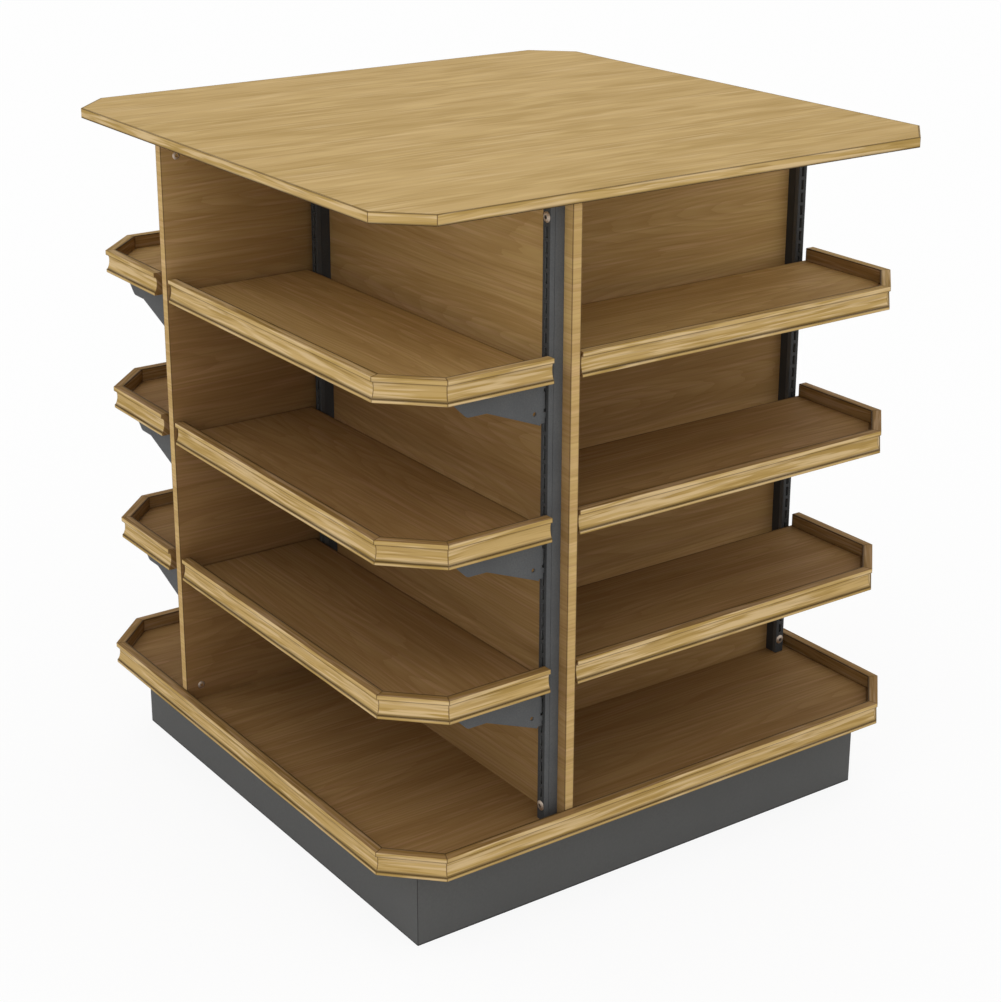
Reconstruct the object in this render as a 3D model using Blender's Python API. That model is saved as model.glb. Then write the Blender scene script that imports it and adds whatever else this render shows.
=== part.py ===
"""Four-way display shelf merchandiser.

Four wooden wall panels stand in a pinwheel on a moulded deck and carry a square top. Each panel backs
one bay: two slotted steel posts are bolted to its face, and three pairs of hook-in brackets hang on the
posts and carry three moulded shelves. The four bays are the same bay turned by quarter turns about +Z.

Units are metres, +Z is up, and the origin is on the floor at the centre of the plinth.
The front bay faces -Y, and the bays follow counter-clockwise: front, right, back, left.
"""

import math

import bmesh
import bpy
from mathutils import Matrix

# Boards and their fit
BOARD = 0.019
FIT = 0.0003

# Top board with its edge band
TOP_SIDE = 1.190
TOP_CORNER_CUT = 0.077
EDGE_BAND = 0.002

# Deck and the moulding that runs round the deck and the shelves
DECK_SIDE = 1.190
CORNER_CUT = 0.088
MOULDING_HEIGHT = 0.0435
MOULDING_DEPTH = 0.019
TOP_FILLET = 0.0086
BOTTOM_FILLET = 0.0058
COVE_TOP_STEP = 0.0040
COVE_BOTTOM_STEP = 0.0010
COVE_DEPTH = 0.0057
COVE_SEGMENTS = 6
# Where the cove is deepest, as a share of its own height
COVE_DEEPEST = 0.615

# Plinth, set back all round under the deck
PLINTH_SETBACK = 0.0765
PLINTH_HEIGHT = 0.163

# Wall panels: how far each bay's back face stands from the centre axis
WALL_HEIGHT = 1.123
WALL_OFFSET = 0.2442
CLEAT_WIDTH = 0.040

# Slotted posts
POST_WIDTH = 0.020
POST_DEPTH = 0.029
POST_WALL = 0.0018
POST_FRONT_BAND = 0.0095
POST_GROOVE = 0.0008
OUTER_POST_INSET = 0.022
INNER_POST_GAP = 0.0157
SLOT_PITCH = 0.0254
SLOT_END_MARGIN = 0.028

# Through bolts that hold the posts to the panels, with domed heads at both ends
BOLT_SHANK = 0.008
BOLT_HEAD = 0.0185
BOLT_HEAD_HEIGHT = 0.0030
BOLT_NUT = 0.0155
BOLT_NUT_HEIGHT = 0.0024
BOLT_CLEARANCE = 0.0006
BOLT_SIDES = 10
DOME_SEGMENTS = 3

# Shelves, hung a count of slots below the even spacing of their post
LEVELS = ("low", "middle", "high")
SHELF_BACK_GAP = 0.0045
SHELF_END_GAP = 0.0052
SHELF_DROP_COUNT = 2

# Brackets, measured out from the post face and up from the sill of the upper hook's slot. The lower hook
# hangs a count of slots below the upper one.
BRACKET_THICKNESS = 0.004
BRACKET_LENGTH = 0.1945
BRACKET_RISE = 0.0163
NOSE_DEPTH = 0.0374
NOSE_RADIUS = 0.012
NOSE_FLAT = 0.0391
HEEL_STEP_OUT = 0.0096
HEEL_STEP_DOWN = 0.0032
HEEL_MARGIN = 0.0012
HOOK_SLOT_COUNT = 2
HOOK_NECK = 0.0095
HOOK_LIP = 0.0085
HOOK_LIP_THICKNESS = 0.003
HOOK_CLEARANCE = 0.0006
HOOK_HEADROOM = 0.001
HOOK_SIDE_GAP = 0.00125
RELIEF_DEPTH = 0.0035
RELIEF_HEIGHT = 0.0055
HOLE_DIAMETER = 0.0075
HOLE_OUT = 0.0216
HOLE_RISE = 0.0094
HOLE_SIDES = 8
NOSE_SEGMENTS = 4

# Edges sharper than this stay sharp where a piece is shaded smooth
SMOOTH_ANGLE = math.radians(40)

# Heights and reaches that follow from the sizes above
PLINTH_SIDE = DECK_SIDE - 2 * PLINTH_SETBACK
DECK_BOTTOM = PLINTH_HEIGHT + FIT
WALL_BOTTOM = DECK_BOTTOM + BOARD + FIT
TOP_BOTTOM = WALL_BOTTOM + WALL_HEIGHT + FIT
WALL_START = -WALL_OFFSET + BOARD + FIT
WALL_END = DECK_SIDE / 2 - MOULDING_DEPTH - FIT
POST_BACK = WALL_OFFSET + FIT
POST_FACE = POST_BACK + POST_DEPTH
OUTER_POST_X = WALL_END - OUTER_POST_INSET - POST_WIDTH / 2
INNER_POST_X = -WALL_OFFSET + BOARD + INNER_POST_GAP + POST_WIDTH / 2
POST_XS = {"outer": OUTER_POST_X, "inner": INNER_POST_X}
SLOT_LENGTH = HOOK_NECK + HOOK_LIP + HOOK_HEADROOM
SLOT_WIDTH = BRACKET_THICKNESS + 2 * HOOK_SIDE_GAP
SLOT_COUNT = int((WALL_HEIGHT - 2 * SLOT_END_MARGIN) / SLOT_PITCH) + 1
BOLT_HEIGHTS = (SLOT_END_MARGIN, SLOT_END_MARGIN + (SLOT_COUNT - 1) * SLOT_PITCH)
CLEAT_HEIGHT = SLOT_END_MARGIN - BOLT_NUT / 2 - 2 * BOLT_CLEARANCE
SHELF_STEP = round((SLOT_COUNT + 1) / (len(LEVELS) + 1))
SHELF_BACK = POST_FACE + SHELF_BACK_GAP
SHELF_LEFT = -WALL_OFFSET + BOARD + SHELF_END_GAP
SHELF_FRONT = WALL_END

BAYS = ("front", "right", "back", "left")


# Scene and materials


def clear_scene():
    """Take every object out of the scene."""
    for obj in list(bpy.data.objects):
        bpy.data.objects.remove(obj, do_unlink=True)


def linear(hex_colour):
    """The linear RGBA of an sRGB hex colour."""
    channels = [int(hex_colour[i : i + 2], 16) / 255 for i in (1, 3, 5)]
    return [c / 12.92 if c <= 0.04045 else ((c + 0.055) / 1.055) ** 2.4 for c in channels] + [1.0]


def make_material(name, hex_colour, roughness, metallic):
    """A Principled material of one colour."""
    material = bpy.data.materials.new(name)
    material.use_nodes = True
    shader = material.node_tree.nodes["Principled BSDF"]
    shader.inputs["Base Color"].default_value = linear(hex_colour)
    shader.inputs["Roughness"].default_value = roughness
    shader.inputs["Metallic"].default_value = metallic
    return material


# Outlines


def chamfered_square(side, cut):
    """The eight corners, counter-clockwise, of a centred square whose corners are cut at 45 degrees."""
    half = side / 2
    corner = half - cut
    quarter = ((corner, -half), (half, -corner))
    points = []
    for turn in range(4):
        for x, y in quarter:
            for _ in range(turn):
                x, y = -y, x
            points.append((x, y))
    return points


def mitre_vectors(path, closed):
    """For each corner of a counter-clockwise path, the step that insets both edges there by one unit."""
    count = len(path)
    normals = []
    for i in range(count if closed else count - 1):
        (x0, y0), (x1, y1) = path[i], path[(i + 1) % count]
        length = math.hypot(x1 - x0, y1 - y0)
        normals.append(((y0 - y1) / length, (x1 - x0) / length))
    steps = []
    for i in range(count):
        before = normals[i - 1] if closed or i > 0 else normals[0]
        after = normals[i] if closed or i < count - 1 else normals[-1]
        scale = 1 + before[0] * after[0] + before[1] * after[1]
        steps.append(((before[0] + after[0]) / scale, (before[1] + after[1]) / scale))
    return steps


def inset(path, distance):
    """A closed counter-clockwise outline moved inwards by a distance."""
    steps = mitre_vectors(path, True)
    return [(x + distance * mx, y + distance * my) for (x, y), (mx, my) in zip(path, steps)]


def arc_through(start, middle, end, segments):
    """Points from start to end on the circle through three points."""
    (ax, ay), (bx, by), (cx, cy) = start, middle, end
    d = 2 * (ax * (by - cy) + bx * (cy - ay) + cx * (ay - by))
    a2, b2, c2 = ax * ax + ay * ay, bx * bx + by * by, cx * cx + cy * cy
    ux = (a2 * (by - cy) + b2 * (cy - ay) + c2 * (ay - by)) / d
    uy = (a2 * (cx - bx) + b2 * (ax - cx) + c2 * (bx - ax)) / d
    radius = math.hypot(ax - ux, ay - uy)
    first = math.atan2(ay - uy, ax - ux)
    turn = math.remainder(math.atan2(cy - uy, cx - ux) - first, 2 * math.pi)
    angles = [first + turn * i / segments for i in range(segments + 1)]
    return [(ux + radius * math.cos(a), uy + radius * math.sin(a)) for a in angles]


def rounded_corner(before, corner, after, radius, segments):
    """Points of a fillet of the given radius at a corner between two neighbouring points."""
    to_before = (before[0] - corner[0], before[1] - corner[1])
    to_after = (after[0] - corner[0], after[1] - corner[1])
    a = math.atan2(to_before[1], to_before[0])
    b = math.atan2(to_after[1], to_after[0])
    half = math.remainder(b - a, 2 * math.pi) / 2
    reach = radius / abs(math.tan(half))
    centre_reach = radius / abs(math.sin(half))
    start = (corner[0] + reach * math.cos(a), corner[1] + reach * math.sin(a))
    end = (corner[0] + reach * math.cos(b), corner[1] + reach * math.sin(b))
    middle_reach = centre_reach - radius
    middle = (
        corner[0] + middle_reach * math.cos(a + half),
        corner[1] + middle_reach * math.sin(a + half),
    )
    return arc_through(start, middle, end, segments)


def moulding_face():
    """The moulding's face from the bottom edge to the top edge, as (inset from the face, height)."""
    cove_bottom = BOTTOM_FILLET
    cove_top = MOULDING_HEIGHT - TOP_FILLET
    cove = arc_through(
        (COVE_BOTTOM_STEP, cove_bottom),
        (COVE_DEPTH, cove_bottom + COVE_DEEPEST * (cove_top - cove_bottom)),
        (COVE_TOP_STEP, cove_top),
        COVE_SEGMENTS,
    )
    return [(0, 0), (0, cove_bottom)] + cove + [(0, cove_top), (0, MOULDING_HEIGHT)]


# Meshes


def mesh_from(bm, name):
    """Close a bmesh with its faces pointing out and turn it into a mesh."""
    bmesh.ops.recalc_face_normals(bm, faces=bm.faces)
    mesh = bpy.data.meshes.new(name)
    bm.to_mesh(mesh)
    bm.free()
    return mesh


def prism(name, outline, low, high):
    """An outline in the XY plane, carried straight up from one height to another."""
    bm = bmesh.new()
    bottom = [bm.verts.new((x, y, low)) for x, y in outline]
    top = [bm.verts.new((x, y, high)) for x, y in outline]
    bm.faces.new(bottom)
    bm.faces.new(top)
    for i in range(len(outline)):
        j = (i + 1) % len(outline)
        bm.faces.new((bottom[i], bottom[j], top[j], top[i]))
    return mesh_from(bm, name)


def plate(name, outline, thickness):
    """An outline in the plane of -Y and +Z, as (out, up), given a thickness centred on X."""
    mesh = prism(name, outline, -thickness / 2, thickness / 2)
    mesh.transform(Matrix(((0, 0, 1, 0), (-1, 0, 0, 0), (0, 1, 0, 0), (0, 0, 0, 1))))
    mesh.flip_normals()
    return mesh


def box(bm, low, high):
    """Add a box between two corners to a bmesh."""
    xs, ys, zs = zip(low, high)
    verts = [bm.verts.new((x, y, z)) for x in xs for y in ys for z in zs]
    for face in ((0, 1, 3, 2), (4, 6, 7, 5), (0, 4, 5, 1), (2, 3, 7, 6), (0, 2, 6, 4), (1, 5, 7, 3)):
        bm.faces.new([verts[i] for i in face])


def ring(name, path, profile, bottom):
    """A closed profile of (inset, height) carried round a closed path, mitred at every corner."""
    bm = bmesh.new()
    loops = []
    for (x, y), (mx, my) in zip(path, mitre_vectors(path, True)):
        loops.append([bm.verts.new((x + d * mx, y + d * my, bottom + h)) for d, h in profile])
    for i, loop in enumerate(loops):
        following = loops[(i + 1) % len(loops)]
        for j in range(len(profile)):
            k = (j + 1) % len(profile)
            bm.faces.new((loop[j], following[j], following[k], loop[k]))
    return mesh_from(bm, name)


def turned(bm, profile, sides, centre):
    """Add a solid turned about the Y direction through a centre, from (along Y, radius) points."""
    cx, cz = centre
    turns = [2 * math.pi * (i + 0.5) / sides for i in range(sides)]
    circle = [(math.cos(a), math.sin(a)) for a in turns]
    loops = []
    for along, radius in profile:
        loops.append([bm.verts.new((cx + radius * x, along, cz + radius * z)) for x, z in circle])
    for first, second in zip(loops, loops[1:]):
        for i in range(sides):
            j = (i + 1) % sides
            bm.faces.new((first[i], first[j], second[j], second[i]))
    bm.faces.new(loops[0])
    bm.faces.new(loops[-1])


def combined(mesh, tool, operation):
    """The mesh that a Boolean of two meshes leaves."""
    body = bpy.data.objects.new("body", mesh)
    helper = bpy.data.objects.new("helper", tool)
    for obj in (body, helper):
        bpy.context.scene.collection.objects.link(obj)
    helper.hide_render = True
    helper.display_type = "WIRE"
    modifier = body.modifiers.new("Boolean", "BOOLEAN")
    modifier.operation = operation
    modifier.solver = "EXACT"
    modifier.object = helper
    graph = bpy.context.evaluated_depsgraph_get()
    result = bpy.data.meshes.new_from_object(body.evaluated_get(graph))
    name = mesh.name
    for obj in (body, helper):
        bpy.data.objects.remove(obj, do_unlink=True)
    for used in (mesh, tool):
        bpy.data.meshes.remove(used)
    result.name = name
    return result


# Sub-part shapes, each about its own origin


def wall_mesh():
    """A panel from its butted end to its outer end, drilled for the bolts of its two posts."""
    length = WALL_END - WALL_START
    mesh = prism("wall_panel", [(0, 0), (length, 0), (length, BOARD), (0, BOARD)], 0, WALL_HEIGHT)
    bm = bmesh.new()
    radius = BOLT_SHANK / 2 + BOLT_CLEARANCE
    for post_x in POST_XS.values():
        for height in BOLT_HEIGHTS:
            turned(bm, [(-BOARD, radius), (2 * BOARD, radius)], BOLT_SIDES, (post_x - WALL_START, height))
    return combined(mesh, mesh_from(bm, "bolt_holes"), "DIFFERENCE")


def post_mesh():
    """A slotted tube with a groove down each side, and the two bolts that hold it to its panel.

    Its origin is at the foot of its back face. The bolts run through the panel behind it.
    """
    half = POST_WIDTH / 2
    seam = -POST_DEPTH + POST_FRONT_BAND
    groove = ((half, seam), (half - POST_GROOVE, seam), (half - POST_GROOVE, seam + POST_GROOVE))
    right_side = [(half, -POST_DEPTH), *groove, (half, seam + POST_GROOVE), (half, 0)]
    outline = right_side + [(-x, y) for x, y in reversed(right_side)]
    mesh = prism("slotted_post", outline, 0, WALL_HEIGHT)

    bm = bmesh.new()
    inner = half - POST_WALL
    past_end = POST_WALL
    box(bm, (-inner, -POST_DEPTH + POST_WALL, -past_end), (inner, -POST_WALL, WALL_HEIGHT + past_end))
    mesh = combined(mesh, mesh_from(bm, "bore"), "DIFFERENCE")

    bm = bmesh.new()
    for i in range(1, SLOT_COUNT - 1):
        middle = SLOT_END_MARGIN + i * SLOT_PITCH
        low = (-SLOT_WIDTH / 2, -POST_DEPTH - POST_WALL, middle - SLOT_LENGTH / 2)
        high = (SLOT_WIDTH / 2, -POST_DEPTH + 2 * POST_WALL, middle + SLOT_LENGTH / 2)
        box(bm, low, high)
    mesh = combined(mesh, mesh_from(bm, "slots"), "DIFFERENCE")

    bm = bmesh.new()
    for height in BOLT_HEIGHTS:
        turned(bm, bolt_profile(), BOLT_SIDES, (0, height))
    return combined(mesh, mesh_from(bm, "bolts"), "UNION")


def dome(diameter, height):
    """A domed head from its flat crown to its rim, as (rise, radius) points on one arc."""
    rim = diameter / 2
    radius = (rim**2 + height**2) / (2 * height)
    reach = math.asin(rim / radius)
    angles = [reach * (i + 1) / DOME_SEGMENTS for i in range(DOME_SEGMENTS)]
    return [(height - radius * (1 - math.cos(a)), radius * math.sin(a)) for a in angles]


def bolt_profile():
    """A bolt as (along Y, radius): a domed head seated in the post's face, a shank and a domed nut.

    The shank runs through the panel behind the post, and the nut lies against the panel's other face.
    """
    face = -POST_DEPTH
    seat = face + POST_WALL / 2
    behind = FIT + BOARD + FIT
    head = [(face - rise, radius) for rise, radius in dome(BOLT_HEAD, BOLT_HEAD_HEIGHT)]
    nut = [(behind + rise, radius) for rise, radius in reversed(dome(BOLT_NUT, BOLT_NUT_HEIGHT))]
    return head + [(seat, BOLT_HEAD / 2), (seat, BOLT_SHANK / 2), (behind, BOLT_SHANK / 2)] + nut


def shelf_mesh():
    """A shelf board with its moulding along the front, the cut corner and the open end.

    Its origin is at the back of its closed end, on the underside. The moulding's face is carried along
    the front, the cut corner and the end. The board closes the shape behind it.
    """
    length = SHELF_FRONT - SHELF_LEFT
    depth = SHELF_FRONT - SHELF_BACK
    path = [(0, -depth), (length - CORNER_CUT, -depth), (length, -depth + CORNER_CUT), (length, 0)]
    profile = moulding_face() + [(MOULDING_DEPTH, MOULDING_HEIGHT), (MOULDING_DEPTH, BOARD)]
    bm = bmesh.new()
    loops = []
    for (x, y), (mx, my) in zip(path, mitre_vectors(path, False)):
        loops.append([bm.verts.new((x + d * mx, y + d * my, h)) for d, h in profile])
    low_corner = bm.verts.new((0, 0, 0))
    high_corner = bm.verts.new((0, 0, BOARD))
    for first, second in zip(loops, loops[1:]):
        for j in range(len(profile) - 1):
            bm.faces.new((first[j], second[j], second[j + 1], first[j + 1]))
    bm.faces.new([loop[0] for loop in loops] + [low_corner])
    bm.faces.new([loop[-1] for loop in loops] + [high_corner])
    bm.faces.new(loops[0] + [high_corner, low_corner])
    bm.faces.new(loops[-1] + [high_corner, low_corner])
    return mesh_from(bm, "shelf")


def hook(sill):
    """A hook's outline from below its neck to above it, over the sill of a slot, as (out, up)."""
    inside = -POST_WALL - HOOK_CLEARANCE
    tip = inside - HOOK_LIP_THICKNESS
    neck_bottom = sill + FIT
    neck_top = neck_bottom + HOOK_NECK
    return [
        (HOOK_CLEARANCE, neck_bottom),
        (inside, neck_bottom),
        (inside, sill - HOOK_LIP),
        (tip, sill - HOOK_LIP),
        (tip, neck_top),
        (HOOK_CLEARANCE, neck_top),
    ]


def bracket_mesh():
    """A plate bracket with two hooks. Its origin is on the post face, at the sill of the upper slot."""
    lower_sill = -HOOK_SLOT_COUNT * SLOT_PITCH
    nose_low = BRACKET_RISE - NOSE_DEPTH
    heel = lower_sill - HOOK_LIP - HEEL_MARGIN
    nose_tip = (BRACKET_LENGTH, BRACKET_RISE)
    nose_corner = (BRACKET_LENGTH - NOSE_DEPTH, nose_low)
    slope_start = (nose_corner[0] - NOSE_FLAT, nose_low)
    nose = rounded_corner(nose_tip, nose_corner, slope_start, NOSE_RADIUS, NOSE_SEGMENTS)
    lower_hook = hook(lower_sill)
    lower_top = lower_hook[-1][1]
    upper_hook = hook(0)
    upper_low = upper_hook[0][1]
    outline = [
        (HOOK_CLEARANCE, BRACKET_RISE),
        nose_tip,
        *nose,
        slope_start,
        (HEEL_STEP_OUT, heel - HEEL_STEP_DOWN),
        (HEEL_STEP_OUT, heel),
        (HOOK_CLEARANCE, heel),
        *lower_hook[:-1],
        (RELIEF_DEPTH, lower_top),
        (RELIEF_DEPTH, lower_top + RELIEF_HEIGHT),
        (HOOK_CLEARANCE, lower_top + RELIEF_HEIGHT),
        (HOOK_CLEARANCE, upper_low - RELIEF_HEIGHT),
        (RELIEF_DEPTH, upper_low - RELIEF_HEIGHT),
        (RELIEF_DEPTH, upper_low),
        *upper_hook[1:],
    ]
    mesh = plate("bracket", outline, BRACKET_THICKNESS)
    radius = HOLE_DIAMETER / 2
    centre = (HOLE_OUT, lower_sill + HOLE_RISE)
    turns = [2 * math.pi * i / HOLE_SIDES for i in range(HOLE_SIDES)]
    circle = [(centre[0] + radius * math.cos(a), centre[1] + radius * math.sin(a)) for a in turns]
    return combined(mesh, plate("bracket_hole", circle, 2 * BRACKET_THICKNESS), "DIFFERENCE")


def plinth_board_mesh():
    """A plinth board with mitred ends, about the centre of its outer face's lower edge."""
    half = PLINTH_SIDE / 2 - FIT
    outline = [(-half, 0), (half, 0), (half - BOARD, BOARD), (-half + BOARD, BOARD)]
    return prism("plinth_board", outline, 0, PLINTH_HEIGHT)


def cross_rail_mesh(notch_low, notch_high):
    """A rail across the inside of the plinth, notched at its middle for the rail that it crosses."""
    half = PLINTH_SIDE / 2 - BOARD - FIT
    side = BOARD / 2
    outline = [(-half, -side), (half, -side), (half, side), (-half, side)]
    mesh = prism("plinth_rail", outline, 0, PLINTH_HEIGHT)
    bm = bmesh.new()
    notch = side + FIT
    box(bm, (-notch, -BOARD, notch_low), (notch, BOARD, notch_high))
    return combined(mesh, mesh_from(bm, "rail_notch"), "DIFFERENCE")


# Assembly


def place(name, mesh, material, location, parent=None):
    """Add a named object for a mesh, shaded smooth and with its material, at a place under its parent."""
    obj = bpy.data.objects.new(name, mesh)
    bpy.context.scene.collection.objects.link(obj)
    if not mesh.materials:
        mesh.materials.append(material)
        mesh.shade_smooth()
        mesh.set_sharp_from_angle(angle=SMOOTH_ANGLE)
    obj.location = location
    obj.parent = parent
    return obj


def bay_frame(turn):
    """An empty at the centre of the floor, turned to a bay."""
    frame = bpy.data.objects.new(BAYS[turn] + "_bay", None)
    bpy.context.scene.collection.objects.link(frame)
    frame.rotation_euler = (0, 0, turn * math.pi / 2)
    return frame


def sill_height(level):
    """The height of the sill that carries the upper hooks of a shelf level, counted from 0."""
    slot = SHELF_STEP * (level + 1) - SHELF_DROP_COUNT
    return WALL_BOTTOM + SLOT_END_MARGIN + slot * SLOT_PITCH - SLOT_LENGTH / 2


def build_base(wood, laminate):
    """The two rails that cross inside the plinth, and the deck with its moulding."""
    middle = PLINTH_HEIGHT / 2
    past_edge = BOARD
    upper = cross_rail_mesh(-past_edge, middle + FIT / 2)
    lower = cross_rail_mesh(middle - FIT / 2, PLINTH_HEIGHT + past_edge)
    place("plinth_upper_cross_rail", upper, laminate, (0, 0, 0))
    crossing = place("plinth_lower_cross_rail", lower, laminate, (0, 0, 0))
    crossing.rotation_euler = (0, 0, math.pi / 2)

    deck = chamfered_square(DECK_SIDE, CORNER_CUT)
    board = prism("deck_board", inset(deck, MOULDING_DEPTH + FIT), 0, BOARD)
    place("deck_board", board, wood, (0, 0, DECK_BOTTOM))
    profile = moulding_face() + [(MOULDING_DEPTH, MOULDING_HEIGHT), (MOULDING_DEPTH, 0)]
    place("deck_moulding", ring("deck_moulding", deck, profile, 0), wood, (0, 0, DECK_BOTTOM))


def cleat_mesh(name):
    """A square frame of cleats that fits inside the core of the four walls."""
    half = WALL_OFFSET - BOARD - FIT
    path = [(half, -half), (half, half), (-half, half), (-half, -half)]
    profile = [(0, 0), (0, CLEAT_HEIGHT), (CLEAT_WIDTH, CLEAT_HEIGHT), (CLEAT_WIDTH, 0)]
    return ring(name, path, profile, 0)


def build_top(wood):
    """The top board with its edge band, and the cleat frames that tie the walls to the deck and the top."""
    outline = chamfered_square(TOP_SIDE, TOP_CORNER_CUT)
    board = prism("top_board", inset(outline, EDGE_BAND + FIT), 0, BOARD)
    place("top_board", board, wood, (0, 0, TOP_BOTTOM))
    band = [(0, 0), (0, BOARD), (EDGE_BAND, BOARD), (EDGE_BAND, 0)]
    place("top_edge_band", ring("top_edge_band", outline, band, 0), wood, (0, 0, TOP_BOTTOM))
    place("core_foot_cleat", cleat_mesh("core_foot_cleat"), wood, (0, 0, WALL_BOTTOM))
    head = WALL_BOTTOM + WALL_HEIGHT - CLEAT_HEIGHT
    place("core_head_cleat", cleat_mesh("core_head_cleat"), wood, (0, 0, head))


def build_bay(turn, shapes, wood, laminate, steel):
    """One bay: its plinth board, wall panel, posts, brackets and shelves, under an empty turned to it."""
    bay = BAYS[turn]
    frame = bay_frame(turn)
    place(bay + "_plinth_board", shapes["plinth_board"], laminate, (0, -PLINTH_SIDE / 2, 0), frame)
    place(bay + "_wall_panel", shapes["wall"], wood, (WALL_START, -WALL_OFFSET, WALL_BOTTOM), frame)
    for side, post_x in POST_XS.items():
        place(f"{bay}_{side}_post", shapes["post"], steel, (post_x, -POST_BACK, WALL_BOTTOM), frame)
    for level, level_name in enumerate(LEVELS):
        sill = sill_height(level)
        for side, post_x in POST_XS.items():
            name = f"{bay}_{level_name}_{side}_bracket"
            place(name, shapes["bracket"], steel, (post_x, -POST_FACE, sill), frame)
        shelf_at = (SHELF_LEFT, -SHELF_BACK, sill + BRACKET_RISE + FIT)
        place(f"{bay}_{level_name}_shelf", shapes["shelf"], wood, shelf_at, frame)


def main():
    clear_scene()
    wood = make_material("oak_veneered_board", "#BE9F69", 0.5, 0.0)
    laminate = make_material("charcoal_laminate", "#505050", 0.6, 0.0)
    steel = make_material("charcoal_powder_coat", "#4F4F4E", 0.55, 0.0)
    shapes = {
        "plinth_board": plinth_board_mesh(),
        "wall": wall_mesh(),
        "post": post_mesh(),
        "bracket": bracket_mesh(),
        "shelf": shelf_mesh(),
    }
    build_base(wood, laminate)
    build_top(wood)
    for turn in range(len(BAYS)):
        build_bay(turn, shapes, wood, laminate, steel)


main()
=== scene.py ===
"""Looks of a four-way display shelf merchandiser: veneered boards, mitred mouldings and slotted steel.

The file is laid out as an add-on and run as a script. Lengths are metres and +Z is up. The front bay faces
-Y, and the other three bays are the same bay turned by quarter turns, so a piece is worked out once in the
front bay and turned. Each piece stands where its node of the frame stands.
"""

import math
import zlib
from typing import NamedTuple

import bmesh
import bpy
import numpy as np
from bpy.props import FloatProperty, FloatVectorProperty, PointerProperty
from mathutils import Matrix, Vector


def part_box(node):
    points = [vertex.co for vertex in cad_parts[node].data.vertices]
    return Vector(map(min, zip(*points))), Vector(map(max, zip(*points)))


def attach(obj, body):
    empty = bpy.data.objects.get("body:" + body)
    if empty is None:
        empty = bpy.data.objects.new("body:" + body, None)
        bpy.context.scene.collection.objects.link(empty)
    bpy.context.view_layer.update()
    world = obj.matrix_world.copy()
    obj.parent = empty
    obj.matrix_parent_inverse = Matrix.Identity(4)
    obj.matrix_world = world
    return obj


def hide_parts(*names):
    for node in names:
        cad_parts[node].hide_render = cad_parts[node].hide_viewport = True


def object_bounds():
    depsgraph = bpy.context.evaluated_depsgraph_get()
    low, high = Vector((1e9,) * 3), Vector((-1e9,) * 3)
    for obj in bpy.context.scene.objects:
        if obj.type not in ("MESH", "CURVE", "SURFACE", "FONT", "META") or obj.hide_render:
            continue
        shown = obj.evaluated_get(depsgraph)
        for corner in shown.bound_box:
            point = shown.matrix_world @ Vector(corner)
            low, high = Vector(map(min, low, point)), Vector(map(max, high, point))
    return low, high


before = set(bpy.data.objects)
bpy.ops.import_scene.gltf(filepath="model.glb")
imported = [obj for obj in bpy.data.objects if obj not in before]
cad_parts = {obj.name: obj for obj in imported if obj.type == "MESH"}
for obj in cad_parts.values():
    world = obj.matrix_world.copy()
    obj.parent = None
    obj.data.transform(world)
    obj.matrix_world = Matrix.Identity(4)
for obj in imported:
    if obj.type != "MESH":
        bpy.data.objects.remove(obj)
CAD_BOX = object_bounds()

bl_info = {
    "name": "Display Shelf Merchandiser",
    "version": (1, 0, 0),
    "blender": (4, 5, 0),
    "location": "View3D > Sidebar > Merchandiser",
    "description": "Builds the boards, mouldings, posts, brackets and stage of a four-way display shelf",
    "category": "Object",
}

BAYS = ("front", "right", "back", "left")
LEVELS = ("low", "middle", "high")
SIDES = ("outer", "inner")
CARCASS = "carcass"

# The photograph's size in pixels, and the width of the camera's sensor in millimetres
IMAGE_WIDTH = 1001
IMAGE_HEIGHT = 1002
SENSOR_WIDTH = 36.0

# Shares of an edge that a sanded corner and its dark stripe may take at most
SANDED_SHARE = 0.3
STRIPE_SHARE = 0.45

# How solid the stain is: a dark line at an edge or a mitre, which also paints shade in a hollow or beside a
# joint
LINE = 0.70
FAINT = 0.25

# How deep the painted shade of a panel's two faces is at its inner and its open end, below the highest shelf
# and above it
FRONT_PAINTED_SHADES = ((0.95, 0.68), (0.60, 0.03))
BACK_PAINTED_SHADES = ((0.95, 0.95), (1.05, 0.48))

# How deep the painted shade of a moulding's back is
REAR_PAINTED_SHADE = 0.84

# How deep the painted shade is at least all round a post that stands in the corner of a bay
CORNER_POST_PAINTED_SHADE = 0.6

# An eighth of a turn, and the mitre of two strips that turn by it: how far it runs along for a unit of inset
EIGHTH = math.radians(45)
MITRE = math.tan(EIGHTH / 2)

# Fineness of the curves
COVE_POINTS = 18
BOLT_SIDES = 36
DOME_POINTS = 7
HOLE_SIDES = 24
NOSE_POINTS = 9
FLOOR_SIDES = 64

# The angle from which an edge is sharp, and how close two points are one
SMOOTH_ANGLE = math.radians(32)
SAME_POINT = 1e-6

# How far out a bolt's dome starts, in half widths of its socket
SOCKET_LIP = 1.25

# Radii of the floor's rings and how far it lies below the object, in metres
FLOOR_RADII = (0.5, 3.0, 60.0)
FLOOR_GAP = 0.0003

# Colour of the floor's glow and of the sky
WHITE = (1.0, 1.0, 1.0, 1.0)

# How many places in the log a piece may come from along each axis, and how many of them make a metre
LOG_PLACES = 1024
PLACES_PER_METRE = 100

# Boxes of the frame's nodes in the front bay, as (lowest corner, highest corner)
TOP_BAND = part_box("top_edge_band")
DECK_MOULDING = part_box("deck_moulding")
DECK_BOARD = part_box("deck_board")
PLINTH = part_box("front_plinth_board")
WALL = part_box("front_wall_panel")
POSTS = {side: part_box(f"front_{side}_post") for side in SIDES}
SHELVES = {level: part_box(f"front_{level}_shelf") for level in LEVELS}
BRACKETS = {
    (level, side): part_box(f"front_{level}_{side}_bracket") for level in LEVELS for side in SIDES
}


# Properties


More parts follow.
